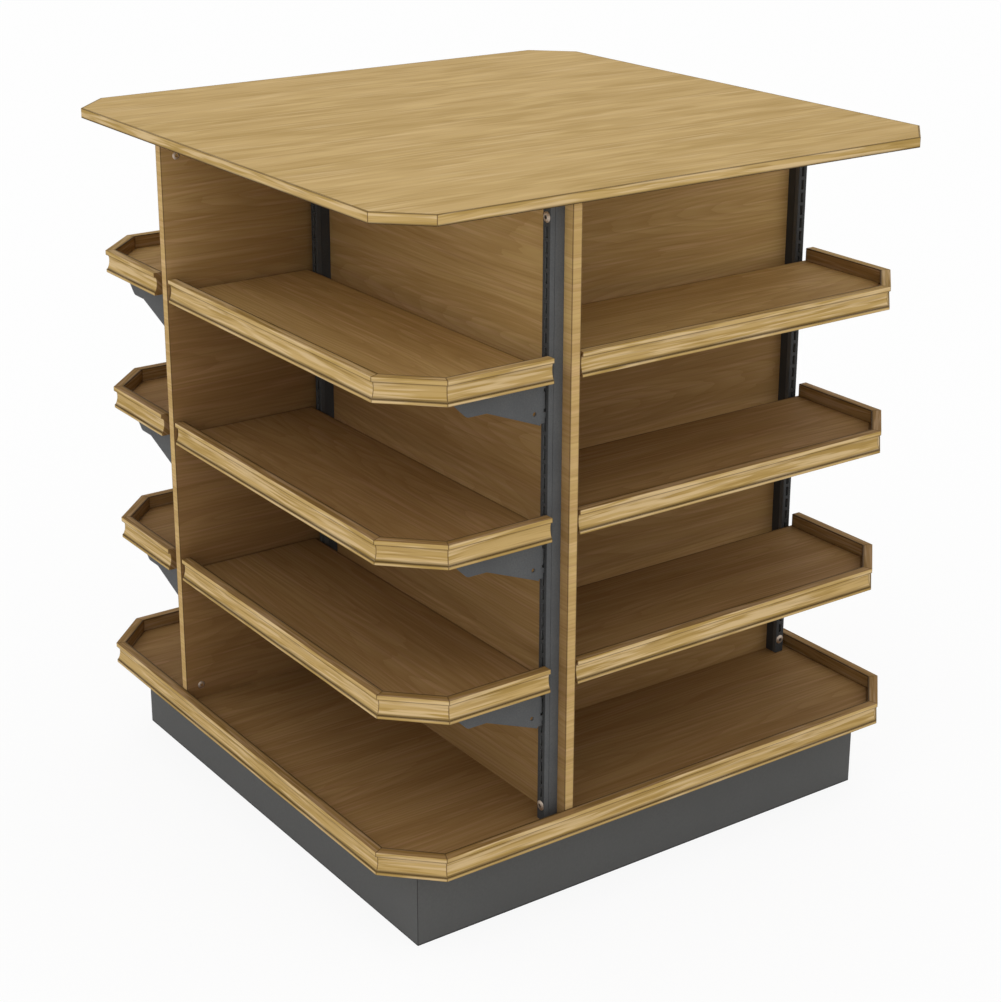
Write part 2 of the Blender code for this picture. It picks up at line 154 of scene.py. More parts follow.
def linear(hex_colour):
    """The linear RGB of an sRGB hex colour, by the curve that the sRGB standard gives."""
    channels = [int(hex_colour[i : i + 2], 16) / 255 for i in (1, 3, 5)]
    return [c / 12.92 if c <= 0.04045 else ((c + 0.055) / 1.055) ** 2.4 for c in channels]


def number(name, description, default, **settings):
    """A number that a user may change."""
    return FloatProperty(name=name, description=description, default=default, **settings)


def length(name, description, default):
    """A length in metres that a user may change."""
    return number(name, description, default, min=0.0, unit="LENGTH", precision=5)


def share(name, description, default):
    """A share of a whole that a user may change."""
    return number(name, description, default, min=0.0, max=1.0, subtype="FACTOR")


def aim(name, description, degrees):
    """The angle of a direction that a user may change."""
    return number(name, description, math.radians(degrees), subtype="ANGLE")


def colour(name, description, default):
    """A colour, given as an sRGB hex value, that a user may change."""
    return FloatVectorProperty(
        name=name, description=description, default=linear(default), size=3, min=0.0, max=1.0,
        subtype="COLOR",
    )


class JoinerySizes(bpy.types.PropertyGroup):
    """Sizes of the boards, the edge band and the mouldings."""

    board: length("Board", "Thickness of every board", DECK_BOARD[1].z - DECK_BOARD[0].z)
    top_cut: length("Top corner", "How far the top's corners are cut back along its sides", 0.077)
    band: length("Edge band", "Thickness of the band round the top", 0.002)
    cut: length("Corner", "How far the deck's and the shelves' corners are cut back", 0.088)
    depth: length("Moulding depth", "From the moulding's face to its back", 0.019)
    top_fillet: length("Top fillet", "Height of the flat stripe at the top of the moulding", 0.0086)
    bottom_fillet: length("Bottom fillet", "Height of the flat stripe at its foot", 0.0058)
    top_step: length("Top step", "How far the cove steps in below the top fillet", 0.0040)
    bottom_step: length("Bottom step", "How far the cove steps in above the bottom fillet", 0.0010)
    cove: length("Cove", "How deep the hollow of the moulding is", 0.0057)
    deepest: share("Deepest place", "Where the hollow is deepest, up its height", 0.615)
    sanded: length("Sanded edge", "How far a sharp edge is rounded", 0.0005)
    # The stain's stripes: dark lines at edges and mitres; in the cove and over a board beside a moulding they
    # paint shade
    stripe: length("Dark stripe", "How far the stain that gathers at an edge reaches", 0.0022)
    flat_stripe: length("Flat stripe", "How far it reaches on a face that lies flat", 0.0040)
    cove_stripe: length("Cove stripe", "How far it reaches up the cove from its foot", 0.0048)
    rear_stripe: length("Rear stripe", "How far it reaches over a moulding's top and a board", 0.005)
    mitre_stripe: length("Mitre stripe", "How far it reaches from a mitre", 0.0013)
    seam: length("Seam", "Half the gap of a closed mitre", 0.00005)


class SteelSizes(bpy.types.PropertyGroup):
    """Sizes of the posts, bolts and brackets."""

    post_depth: length("Post depth", "From the panel to the slotted face", 0.029)
    post_gap: length("Post gap", "Between the panel and the back of the post", 0.0003)
    wall: length("Post wall", "Thickness of the post's sheet", 0.0018)
    bend: length("Post bend", "How far the post's corners are rounded", 0.0011)
    front_band: length("Front band", "From the slotted face to the groove in the side", 0.0095)
    groove: length("Groove", "Width and depth of the groove in the side", 0.0008)
    pitch: length("Slot pitch", "From one slot to the next", 0.0254)
    slot_length: length("Slot length", "Height of a slot", 0.019)
    slot_width: length("Slot width", "Width of a slot", 0.0065)
    margin: length("End margin", "From the post's end to the middle of its bolt", 0.028)
    head: length("Bolt head", "Diameter of the domed head", 0.0185)
    head_rise: length("Head height", "Height of the domed head", 0.0030)
    nut: length("Nut", "Diameter of the domed nut", 0.0155)
    nut_rise: length("Nut height", "Height of the domed nut", 0.0024)
    shank: length("Shank", "Diameter of the bolt", 0.008)
    socket: length("Socket", "Width of the six-sided socket across its flats", 0.007)
    socket_depth: length("Socket depth", "How deep the socket is", 0.0030)
    plate: length("Plate", "Thickness of a bracket", 0.004)
    reach: length("Reach", "From the post's face to the tip of the bracket", 0.1945)
    rise: length("Rise", "From the sill of the upper slot to the top of the bracket", 0.0163)
    nose: length("Nose", "How far the nose is cut back and down at 45 degrees", 0.0374)
    nose_bend: length("Nose bend", "Radius below the nose", 0.012)
    nose_flat: length("Nose flat", "Flat stretch behind the nose", 0.0391)
    heel_out: length("Heel step", "How far out the heel's step lies", 0.0096)
    heel_down: length("Heel drop", "How far the heel's step drops", 0.0032)
    heel_margin: length("Heel margin", "From the lower hook to the heel", 0.0012)
    hook_drop: length("Hook spacing", "From the upper hook to the lower one", 0.0508)
    neck: length("Hook neck", "Height of a hook's neck", 0.0095)
    lip: length("Hook lip", "How far a hook reaches down behind the sill", 0.0085)
    lip_plate: length("Lip width", "Width of a hook's lip", 0.003)
    play: length("Hook play", "Clearance of a hook at the post's sheet", 0.0006)
    seat: length("Hook seat", "Gap between a hook and its sill", 0.0003)
    relief_in: length("Relief depth", "Depth of the notches beside the hooks", 0.0035)
    relief_up: length("Relief height", "Height of the notches beside the hooks", 0.0055)
    hole: length("Hole", "Diameter of the hole near the heel", 0.0075)
    hole_out: length("Hole place", "From the post's face to the middle of the hole", 0.0216)
    hole_up: length("Hole height", "From the lower hook's sill up to the middle of the hole", 0.0094)
    sheared: length("Sheared edge", "How far a bracket's edges are rounded", 0.0003)


class OakLook(bpy.types.PropertyGroup):
    """Colours of the oak, and the tint and shares of the shade painted on its faces."""

    mid: colour("Oak", "Colour of most of the wood", "#C4A56C")
    pale: colour("Pale streak", "Colour of the palest fibres", "#D6BA8B")
    sand: colour("Sandy streak", "Colour of the top veneer's lighter streaks", "#D8BA80")
    olive: colour("Olive streak", "Colour of the darker early wood", "#A98A4C")
    tan: colour("Tan streak", "Colour of the sliced veneer's lighter streaks", "#D8B488")
    umber: colour("Umber streak", "Colour of the sliced veneer's darker streaks", "#A98651")
    line: colour("Pore line", "Colour of the fine lines of pores", "#86683A")
    # Painted shade: a tint multiplied in, and how much of it the top, the highest shelves and the rest take
    shade_tint: colour("Deep tone", "What tints the faces that are stained deeper", "#B5A6A3")
    top_painted_shade: share("Top tone", "How much of the deep tone the top board has", 0.085)
    high_shelf_painted_shade: share("High tone", "How much of it the highest shelves have", 0.28)
    lower_painted_shade: share("Low tone", "How much of it the other shelves and the deck have", 0.84)
    # The edge stain is a dark line at edges and mitres, and painted shade in the coves and beside a moulding
    edge: colour("Edge", "Colour of the stain gathered at an edge", "#3E2E1C")


class SteelLook(bpy.types.PropertyGroup):
    """Colours of the steel, the plinth and the bolts, with the shade and the light painted on the posts."""

    coat: colour("Powder coat", "Colour of the posts and brackets", "#535455")
    coat_speck: colour("Coat speck", "Colour of the coat's lighter specks", "#5D5E5E")
    # Painted shade on the slotted faces, the inner side bands and the posts in the corners of the bays
    coat_shade_tint: colour("Slotted face", "What tints the faces of a post that lie inside a bay", "#BEBEBE")
    # Painted light: a lighter colour on the inside of the posts, seen through the slots
    inside_painted_light: colour("Post lining", "Colour of the bare plated steel inside a post", "#7C7C7A")
    plinth: colour("Laminate", "Colour of the plinth", "#575756")
    plinth_speck: colour("Laminate speck", "Colour of the laminate's lighter mottle", "#5C5C5B")
    edge: colour("Dark edge", "Colour of the joints and edges of dark pieces", "#2C2C2C")
    bolt: colour("Bolt", "Colour of the plated bolts", "#D8CABB")
    bolt_worn: colour("Worn bolt", "Colour where the plating is dull", "#B7A592")


class StageLook(bpy.types.PropertyGroup):
    """Place of the camera, the lights and the colour of the floor."""

    place: FloatVectorProperty(
        name="Camera", description="Where the camera stands", default=(3.1549, -2.2179, 2.0603),
        size=3, subtype="TRANSLATION", unit="LENGTH",
    )
    azimuth: aim("Azimuth", "Direction of the camera about +Z, from -Y", 55.203)
    elevation: aim("Elevation", "How far the camera looks down", 18.838)
    lens: number("Lens", "Focal length in millimetres on a 36 mm sensor", 74.70, min=1.0)
    centre_x: number("Axis across", "Pixel column of the lens axis in the photograph", 480.3)
    centre_y: number("Axis down", "Pixel row of the lens axis in the photograph", 410.0)
    floor: colour("Floor", "Colour of the floor", "#F8F8F8")
    glow: share("Floor glow", "How much of the floor's whiteness doesn't depend on the light", 0.90)
    sky: number("Sky", "Strength of the even light from all round", 0.95, min=0.0)
    key: number("Key light", "Power of the large soft light", 12.0, min=0.0, unit="POWER")
    key_size: length("Key size", "Side of the large soft light", 3.4)
    key_distance: length("Key distance", "From the object's middle to the large soft light", 4.2)
    key_azimuth: aim("Key azimuth", "Direction of the large soft light about +Z, from -Y", 35)
    key_elevation: aim("Key elevation", "How high the large soft light stands", 30)


# Shapes as arrays


def turned(points, bay):
    """Points of the front bay turned about +Z to a bay.

    Formula: a quarter turn takes (x, y, z) to (-y, x, z). A bay takes as many as its place in BAYS.
    """
    quarter = np.array(((0, 1, 0), (-1, 0, 0), (0, 0, 1)), float)
    return points @ np.linalg.matrix_power(quarter, BAYS.index(bay))


def chamfered_square(low, high, cut):
    """The eight corners, counter-clockwise, of a box's plan whose corners are cut at 45 degrees.

    Formula: the front side's right end is (half - cut, -half) and the right side's front end is
    (half, cut - half), and the other six are those two turned by quarter turns.
    """
    half = (high.x - low.x) / 2
    pair = np.array(((half - cut, -half, 0), (half, cut - half, 0)))
    return np.concatenate([turned(pair, bay) for bay in BAYS])[:, :2]


def arc(start, middle, end, count):
    """Points from start to end on the circle through three points.

    Formula: the centre is as far from start as from middle and from end, which is two linear equations,
    and the angle about it runs evenly from start to end, the short way round.
    """
    start, middle, end = (np.array(p, float) for p in (start, middle, end))
    rows = 2 * np.array((middle - start, end - start))
    squares = np.array((middle @ middle - start @ start, end @ end - start @ start))
    centre = np.linalg.solve(rows, squares)
    spoke = start - centre
    first = math.atan2(spoke[1], spoke[0])
    turn = math.remainder(math.atan2(*(end - centre)[::-1]) - first, 2 * math.pi)
    angle = first + turn * np.linspace(0, 1, count)
    return centre + np.hypot(*spoke) * np.stack((np.cos(angle), np.sin(angle)), axis=1)


def mitre_steps(outline):
    """For each corner of a closed counter-clockwise outline, the step that insets its two edges by a unit.

    Formula: with the inward unit normals a and b of the edges before and after, it is (a + b) / (1 + a.b).
    """
    edge = np.roll(outline, -1, axis=0) - outline
    normal = np.stack((-edge[:, 1], edge[:, 0]), axis=1) / np.linalg.norm(edge, axis=1, keepdims=True)
    before = np.roll(normal, 1, axis=0)
    return (before + normal) / (1 + np.sum(before * normal, axis=1, keepdims=True))


def eased(outline, stain_and_painted_light, sanded, stripes):
    """A closed outline whose corners are sanded to small curves, and the stain of each new point.

    Formula: at a corner P with unit steps A towards the point before and B towards the one after, the new
    points are P + vA, P + eA, P + e(A + B) / 4, P + eB and P + wB, with e the corner's sanded length and v
    and w its two stripes. The middle one is half way along the quadratic curve from edge to edge. The three
    on the curve take the corner's stain, and the outer two have none. A corner with no sanded length stays.
    """
    steps = []
    for shift, stripe in zip((1, -1), stripes):
        towards = np.roll(outline, shift, axis=0) - outline
        far = np.linalg.norm(towards, axis=1)
        for reach, most in ((stripe, STRIPE_SHARE), (sanded, SANDED_SHARE)):
            steps.append((np.minimum(reach, most * far) / far)[:, None] * towards)
    v_a, e_a, w_b, e_b = steps
    offsets = np.stack((v_a, e_a, (e_a + e_b) / 4, e_b, w_b), axis=1)
    middle = offsets.shape[1] // 2
    keep = np.repeat((sanded > 0)[:, None], offsets.shape[1], axis=1)
    keep[:, middle] = True
    return (outline[:, None] + offsets)[keep], np.outer(stain_and_painted_light, (0, 1, 1, 1, 0))[keep]


def grid_faces(rows, columns):
    """Quads between neighbouring points that are numbered row by row, where each row is a closed ring."""
    row, column = np.meshgrid(np.arange(rows - 1), np.arange(columns), indexing="ij")
    near = row * columns + column
    after = row * columns + (column + 1) % columns
    return np.stack((near, after, after + columns, near + columns), axis=-1)


def capped(rows, columns):
    """Quads between closed rings of points, with a flat face on the first and the last ring."""
    caps = [list(range(columns))[::-1], list(range((rows - 1) * columns, rows * columns))]
    return grid_faces(rows, columns).reshape(-1, 4).tolist() + caps


class Surface(NamedTuple):
    """Points, the stain and the painted shade of each point, and the faces between them.

    A profile is one too, with (inset, height) points and no faces.
    """

    points: np.ndarray
    stain_and_painted_light: np.ndarray
    tone: np.ndarray
    faces: list | tuple = ()


def strip(profile, run, slopes, sizes):
    """A closed profile of (inset, height) carried straight along a run between two cut ends.

    Formula: a point of the profile stands at the stations 0, e and w from each end, moved along by its
    inset times that end's mitre slope. At station 0 the profile is drawn in by e, which sands the cut edge.
    The stain, a dark line at the mitre, lies on the cut edge and ends at w. The cut face has none, but all
    of the painted shade. The surface's points are (along, inset, height).
    """
    drawn_in = profile.points + sizes.sanded * mitre_steps(profile.points)
    rings = np.stack((drawn_in, profile.points, profile.points))
    near = sizes.seam + np.array((0, sizes.sanded, sizes.mitre_stripe))[:, None]
    start = near + rings[:, :, 0] * slopes[0]
    end = run - near - rings[:, :, 0] * slopes[1]
    along = np.concatenate((start, end[::-1]))
    rings = np.concatenate((rings, rings[::-1]))
    points = np.concatenate((along[:, :, None], rings), axis=2)
    cut, edge = (np.array(marks)[:, None] for marks in ((1, 0, 0, 0, 0, 1), (0, 1, 0, 0, 1, 0)))
    stain_and_painted_light = (1 - cut) * np.maximum(LINE * edge, profile.stain_and_painted_light)
    # The cut face is filled with painted shade
    tone = np.maximum(cut, profile.tone)
    return Surface(points.reshape(-1, 3), stain_and_painted_light.ravel(), tone.ravel(), capped(*along.shape))


def slab(outline, thickness, sizes, stripe):
    """A flat board: a sanded edge carried round a closed outline, closed by two flat faces.

    Formula: ring by ring the outline is inset by d and raised to h, where (d, h) runs from the lower face
    round its sanded edge, up the side and, mirrored, to the upper face. The stain lies on the sanded edges
    and
    ends a stripe away from them: a dark edge line, and painted shade beside a moulding where the stripe is
    wide. The painted shade is 1 on the two faces and 0 on the side. The surface's points are (u, v, h).
    """
    e = sizes.sanded
    half = np.array((
        (stripe, 0, 0, 1),
        (e, 0, LINE, 1),
        (e / 4, e / 4, LINE, 0.5),
        (0, e, LINE, 0),
        (0, sizes.stripe, 0, 0),
    ))
    mirrored = half[::-1] * (1, -1, 1, 1) + (0, thickness, 0, 0)
    inset, height, stain_and_painted_light, tone = (column[:, None] for column in np.concatenate((half, mirrored)).T)
    rings = outline[None] + inset[:, :, None] * mitre_steps(outline)[None]
    shape = rings.shape[:2]
    points = np.concatenate((rings, np.broadcast_to(height, shape)[:, :, None]), axis=2)
    stain_and_painted_light, tone = (np.broadcast_to(mark, shape).ravel() for mark in (stain_and_painted_light, tone))
    return Surface(points.reshape(-1, 3), stain_and_painted_light, tone, capped(*shape))


def laid_along(points, start, end, bottom):
    """Strip points of (along, inset, height) laid from a start to an end in plan, with the inset on the left.

    Formula: start + along t + inset n, where t is the unit step towards the end and n is t turned left.
    """
    t = (end - start) / np.linalg.norm(end - start)
    n = np.array((-t[1], t[0]))
    plan = start + points[:, :1] * t + points[:, 1:2] * n
    return np.column_stack((plan, bottom + points[:, 2]))


def moulding_profile(sizes, height, top_painted_shade):
    """The moulding's closed profile: a cove between two flat fillets.

    Formula: straight edges between the face's foot, the two corners of the back, the face's top and the
    step under the top fillet, then the arc of the cove and the ledge above the bottom fillet. The stain is a
    dark edge line, darkest where the top meets the back, and painted shade where it fades into the cove
    from under the top fillet and from the ledge above the bottom one. The top and the back have painted
    shade each, as far as their sanded edges.
    """
    e = sizes.sanded
    low = sizes.bottom_fillet
    high = height - sizes.top_fillet
    deepest = (sizes.cove, low + sizes.deepest * (high - low))
    corners = ((0, 0), (sizes.depth, 0), (sizes.depth, height), (0, height), (0, high))
    cove = arc((sizes.top_step, high), deepest, (sizes.bottom_step, low), COVE_POINTS)
    outline = np.concatenate((corners, cove, ((0, low),)))
    # Painted shade in the cove, fading in from its foot and from under the top fillet
    from_foot = 1 - (cove[:, 1] - low) / sizes.cove_stripe
    from_head = LINE - (high - cove[:, 1]) / sizes.flat_stripe
    hollow = np.clip(np.maximum(from_foot, from_head), 0, 1)
    stain_and_painted_light = np.concatenate(((FAINT, FAINT, 1, 0, LINE), hollow, (LINE,)))
    sanded = np.concatenate((np.full(len(corners), e), np.zeros(COVE_POINTS), (e,)))
    before = np.full(len(outline), sizes.stripe)
    after = np.where(outline[:, 1] == height, sizes.rear_stripe, before)
    points, stain_and_painted_light = eased(outline, stain_and_painted_light, sanded, (before, after))
    # Painted shade on the moulding's top and back, as far as their sanded edges
    back, top = (np.clip(1 - away / e, 0, 1) for away in (np.array((sizes.depth, height)) - points).T)
    return Surface(points, stain_and_painted_light, np.maximum(top_painted_shade * top, REAR_PAINTED_SHADE * (1 - top) * back))


def band_profile(sizes, depth, height):
    """The closed profile of a plain rectangular strip with stain at its four edges, most at its foot."""
    outline = np.array(((0, 0), (depth, 0), (depth, height), (0, height)))
    foot = outline[:, 1] == 0
    stripe = np.where(foot, sizes.flat_stripe, sizes.stripe)
    sanded = np.full(len(outline), sizes.sanded)
    points, stain_and_painted_light = eased(outline, np.where(foot, 1.0, LINE), sanded, (stripe, stripe))
    return Surface(points, stain_and_painted_light, np.zeros(len(points)))


def post_tube(sizes, width, height, sheltered):
    """A slotted tube with a groove down each side, about the foot of its back face.

    Formula: the outer skin is the post's outline repeated at the ends and at each slot's foot and head.
    The inner skin is the outer one with x and y held inside the bore. The cells between the slot's two
    columns are left out on every second row, and quads join the skins there and at both ends. Painted shade
    is 1 on the slotted face, from which it runs out round the bends, and behind the left groove. A sheltered
    post has it behind both grooves and some of it all round. The stain is 1 on the inner skin, which then
    takes a lighter colour: painted light inside the slots.
    """
    half = width / 2
    seam = -sizes.post_depth + sizes.front_band
    slot = sizes.slot_width / 2
    dip = half - sizes.groove
    right = np.array((
        (slot, -sizes.post_depth), (half, -sizes.post_depth), (half, seam), (dip, seam),
        (dip, seam + sizes.groove), (half, seam + sizes.groove), (half, 0),
    ))
    outline = np.concatenate((right, right[::-1] * (-1, 1)))
    bends = (np.abs(outline[:, 0]) == half) & (outline[:, 1] == -sizes.post_depth)
    plain = np.zeros(len(outline))
    stripe = plain + 2 * sizes.bend
    outline, _ = eased(outline, plain, sizes.bend * bends, (stripe, stripe))
    count = len(outline)
    bore = half - sizes.wall
    inner = np.column_stack((
        np.clip(outline[:, 0], -bore, bore),
        np.clip(outline[:, 1], sizes.wall - sizes.post_depth, -sizes.wall),
    ))
    slots = round((height - 2 * sizes.margin) / sizes.pitch) - 1
    middles = sizes.margin + sizes.pitch * np.arange(1, slots + 1)
    edges = middles[:, None] + sizes.slot_length / 2 * np.array((-1, 1))
    heights = np.concatenate(((0.0,), edges.ravel(), (height,)))
    rows = len(heights)
    skins = []
    for skin in (outline, inner):
        level = np.repeat(heights, count)
        skins.append(np.column_stack((np.tile(skin, (rows, 1)), level)))
    # Painted shade on the slotted face and the side behind the left groove; a corner post has more of it
    face_painted_shade = np.clip(1 - (outline[:, 1] + sizes.post_depth) / sizes.bend, 0, 1)
    face_painted_shade = np.maximum(face_painted_shade, CORNER_POST_PAINTED_SHADE * sheltered)
    face_painted_shade[((outline[:, 0] < 0) | sheltered) & (outline[:, 1] > seam)] = 1
    shift = rows * count
    tone = np.concatenate((np.tile(face_painted_shade, rows), np.zeros(shift)))
    # The whole inner skin is painted lighter, as light inside the slots
    stain_and_painted_light = np.repeat((0.0, 1.0), shift)
    cells = grid_faces(rows, count)
    kept = np.ones(cells.shape[:2], bool)
    kept[1::2, count - 1] = False
    faces = np.concatenate((cells[kept], cells[kept][:, ::-1] + shift))
    gaps = cells[~kept]
    rims = [gaps[:, (k, (k + 1) % 4)] for k in range(4)]
    columns = np.arange(count)
    low_end = np.stack((columns, (columns + 1) % count), axis=1)
    rims += [low_end[:, ::-1], low_end + (rows - 1) * count]
    rims = np.concatenate(rims)
    rims = np.column_stack((rims[:, ::-1], rims + shift))
    return Surface(np.concatenate(skins), stain_and_painted_light, tone, np.concatenate((faces, rims)).tolist())


def dome(diameter, rise, hollow):
    """A dome from the edge of its socket to its rim, as (rise, radius) points.

    Formula: one arc about a centre on the axis, through the rim, whose crown is the rise above the rim.
    """
    rim = diameter / 2
    radius = (rim**2 + rise**2) / (2 * rise)
    angle = np.linspace(math.asin(hollow / radius), math.asin(rim / radius), DOME_POINTS)
    return np.stack((rise - radius * (1 - np.cos(angle)), radius * np.sin(angle)), axis=1)


def bolt_surface(sizes, face, behind):
    """A through bolt about the Y direction: a domed head, its shank and a domed nut, each with a socket.

    Formula: each (along, radius, sixness) of its profile becomes a ring. The ring's radius is the profile's
    where sixness is 0, and the distance to a hexagon's side, r / cos(a), where it is 1, with a the angle
    from the middle of that side.
    """
    flat = sizes.socket / 2
    lip = SOCKET_LIP * flat
    head = dome(sizes.head, sizes.head_rise, lip)
    nut = dome(sizes.nut, sizes.nut_rise, lip)
    crowns = (face - head[0, 0], behind + nut[0, 0])
    floors = (crowns[0] + sizes.socket_depth, crowns[1] - sizes.socket_depth)
    round_rows = np.concatenate((
        np.column_stack((face - head[:, 0], head[:, 1])),
        ((face, sizes.shank / 2), (behind, sizes.shank / 2)),
        np.column_stack((behind + nut[::-1, 0], nut[::-1, 1])),
    ))
    profile = np.concatenate((
        ((floors[0], flat, 1), (crowns[0], flat, 1)),
        np.column_stack((round_rows, np.zeros(len(round_rows)))),
        ((crowns[1], flat, 1), (floors[1], flat, 1)),
    ))
    angle = 2 * np.pi * np.arange(BOLT_SIDES) / BOLT_SIDES
    sixth = np.pi / 3
    hexagon = 1 / np.cos((angle + sixth / 2) % sixth - sixth / 2)
    along, radius, sixness = (column[:, None] for column in profile.T)
    reach = radius * (1 + sixness * (hexagon - 1))
    across, up = reach * np.cos(angle), reach * np.sin(angle)
    points = np.stack((across, np.broadcast_to(along, across.shape), up), axis=2).reshape(-1, 3)
    plain = np.zeros(len(points))
    return Surface(points, plain, plain, capped(*across.shape))


def hook_outline(sizes, sill):
    """A hook's outline of (out, up) from below its neck to above it, over the sill of a slot."""
    inside = -sizes.wall - sizes.play
    tip = inside - sizes.lip_plate
    low = sill + sizes.seat
    high = low + sizes.neck
    lip = sill - sizes.lip
    return [(sizes.play, low), (inside, low), (inside, lip), (tip, lip), (tip, high), (sizes.play, high)]


def bracket_outline(sizes):
    """A bracket's closed outline of (out, up) from the post's face and the upper sill, and its heel's place.

    Formula: straight edges between named corners, with an arc where the 45 degree nose meets the flat. The
    arc touches both, so it starts and ends a mitre of its radius away from their corner.
    """
    lower = -sizes.hook_drop
    nose_low = sizes.rise - sizes.nose
    heel = lower - sizes.lip - sizes.heel_margin
    corner = np.array((sizes.reach - sizes.nose, nose_low))
    bend = sizes.nose_bend * MITRE
    entry = corner + bend * math.sqrt(0.5)
    leave = corner - (bend, 0)
    centre = leave + (0, sizes.nose_bend)
    spoke = EIGHTH / 2 - math.pi / 2
    middle = centre + sizes.nose_bend * np.array((math.cos(spoke), math.sin(spoke)))
    nose = arc(entry, middle, leave, NOSE_POINTS)
    hook_low = hook_outline(sizes, lower)
    hook_high = hook_outline(sizes, 0)
    low_top = hook_low[-1][1]
    high_foot = hook_high[0][1]
    top = [(sizes.play, sizes.rise), (sizes.reach, sizes.rise)]
    front = [*top, *nose, (corner[0] - sizes.nose_flat, nose_low)]
    rear = [
        (sizes.heel_out, heel - sizes.heel_down),
        (sizes.heel_out, heel),
        (sizes.play, heel),
        *hook_low[:-1],
        (sizes.relief_in, low_top),
        (sizes.relief_in, low_top + sizes.relief_up),
        (sizes.play, low_top + sizes.relief_up),
        (sizes.play, high_foot - sizes.relief_up),
        (sizes.relief_in, high_foot - sizes.relief_up),
        (sizes.relief_in, high_foot),
        *hook_high[1:],
    ]
    outline = np.array(front + rear)[::-1]
    return outline, len(rear) - 1


def ring_span(first, last, count):
    """The indices of a ring of points from a first one round to a last one."""
    return (first + np.arange((last - first) % count + 1)) % count


def bracket_plate(sizes):
    """A bracket with sheared edges and its round hole, as (out, up, thickness) points.

    Formula: four rings of the outline, inset by the sheared length on the two faces, and four of the hole's
    circle, widened there. Each face is two flat pieces that meet along lines from the hole to the bracket's
    upper rear corner and to its heel.
    """
    outline, heel = bracket_outline(sizes)
    e = sizes.sheared
    inset = np.array((e, 0, 0, e))[:, None, None]
    level = np.array((0, e, sizes.plate - e, sizes.plate)) - sizes.plate / 2
    edge = outline[None] + inset * mitre_steps(outline)[None]
    angle = 2 * np.pi * np.arange(HOLE_SIDES) / HOLE_SIDES
    centre = np.array((sizes.hole_out, sizes.hole_up - sizes.hook_drop))
    circle = np.stack((np.cos(angle), np.sin(angle)), axis=1)
    hole = centre + (sizes.hole / 2 + inset) * circle[None]
    points = []
    for rings in (edge, hole):
        height = np.broadcast_to(level[:, None, None], rings.shape[:2] + (1,))
        points.append(np.concatenate((rings, height), axis=2).reshape(-1, 3))
    count, sides = len(outline), HOLE_SIDES
    shift = len(level) * count
    faces = grid_faces(len(level), count).reshape(-1, 4).tolist()
    faces += (grid_faces(len(level), sides).reshape(-1, 4)[:, ::-1] + shift).tolist()
    rear = count - 1
    near_rear, near_heel = (int(np.argmin(np.hypot(*(hole[1] - outline[k]).T))) for k in (rear, heel))
    one = (ring_span(heel, rear, count), ring_span(near_heel, near_rear, sides)[::-1])
    two = (ring_span(rear, heel, count), ring_span(near_rear, near_heel, sides)[::-1])
    last = len(level) - 1
    for around, within in (one, two):
        faces.append([*around[::-1], *(within[::-1] + shift)])
        faces.append([*(around + last * count), *(within + shift + last * sides)])
    points = np.concatenate(points)
    plain = np.zeros(len(points))
    return Surface(points, plain, plain, [[int(i) for i in face] for face in faces])


# Meshes and pieces


def log_offset(name):
    """Where in the log a piece was cut, from its name, so that no two pieces show the same figure.

    Formula: the name's checksum gives a whole number of centimetres along, across and through the log.
    """
    checksum = zlib.crc32(name.encode())
    places = [checksum // LOG_PLACES**axis % LOG_PLACES for axis in range(3)]
    return np.array(places) / PLACES_PER_METRE


def make_piece(name, points, surface, material, body, nodes=(), grain=None):
    """A closed mesh object of a placed surface that rides a body and stands for nodes of the frame.

    Each point's stain, which holds dark edge lines as well as painted light and shade, and its painted shade
    go into attributes named after them, and its place in the wood, as (along the grain, across it, through
    it), into the attribute "grain".
    """
    mesh = bpy.data.meshes.new(name)
    mesh.from_pydata(points.tolist(), [], surface.faces)
    for mark in ("stain_and_painted_light", "tone"):
        layer = mesh.attributes.new(mark, "FLOAT", "POINT")
        layer.data.foreach_set("value", getattr(surface, mark).astype(np.float32))
    if grain is not None:
        layer = mesh.attributes.new("grain", "FLOAT_VECTOR", "POINT")
        layer.data.foreach_set("vector", (grain + log_offset(name)).astype(np.float32).ravel())
    bm = bmesh.new()
    bm.from_mesh(mesh)
    bmesh.ops.remove_doubles(bm, verts=bm.verts, dist=SAME_POINT)
    bmesh.ops.recalc_face_normals(bm, faces=bm.faces)
    if any(not edge.is_manifold for edge in bm.edges):
        raise RuntimeError(f"{name} isn't a closed surface")
    bm.to_mesh(mesh)
    bm.free()
    mesh.materials.append(material)
    mesh.shade_smooth()
    mesh.set_sharp_from_angle(angle=SMOOTH_ANGLE)
    obj = bpy.data.objects.new(name, mesh)
    bpy.context.scene.collection.objects.link(obj)
    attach(obj, body)
    if nodes:
        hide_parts(*nodes)


def strip_grain(surface):
    """Where a strip's points lie in the wood: the grain runs along it, with its face unfolded across it."""
    along, inset, height = surface.points.T
    return np.stack((along, height + inset, np.zeros_like(along)), axis=1)


def finish_nodes(names, material):
    """Give nodes of the frame that stay as they are a material."""
    for name in names:
        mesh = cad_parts[name].data
        mesh.materials.clear()
        mesh.materials.append(material)


# Materials

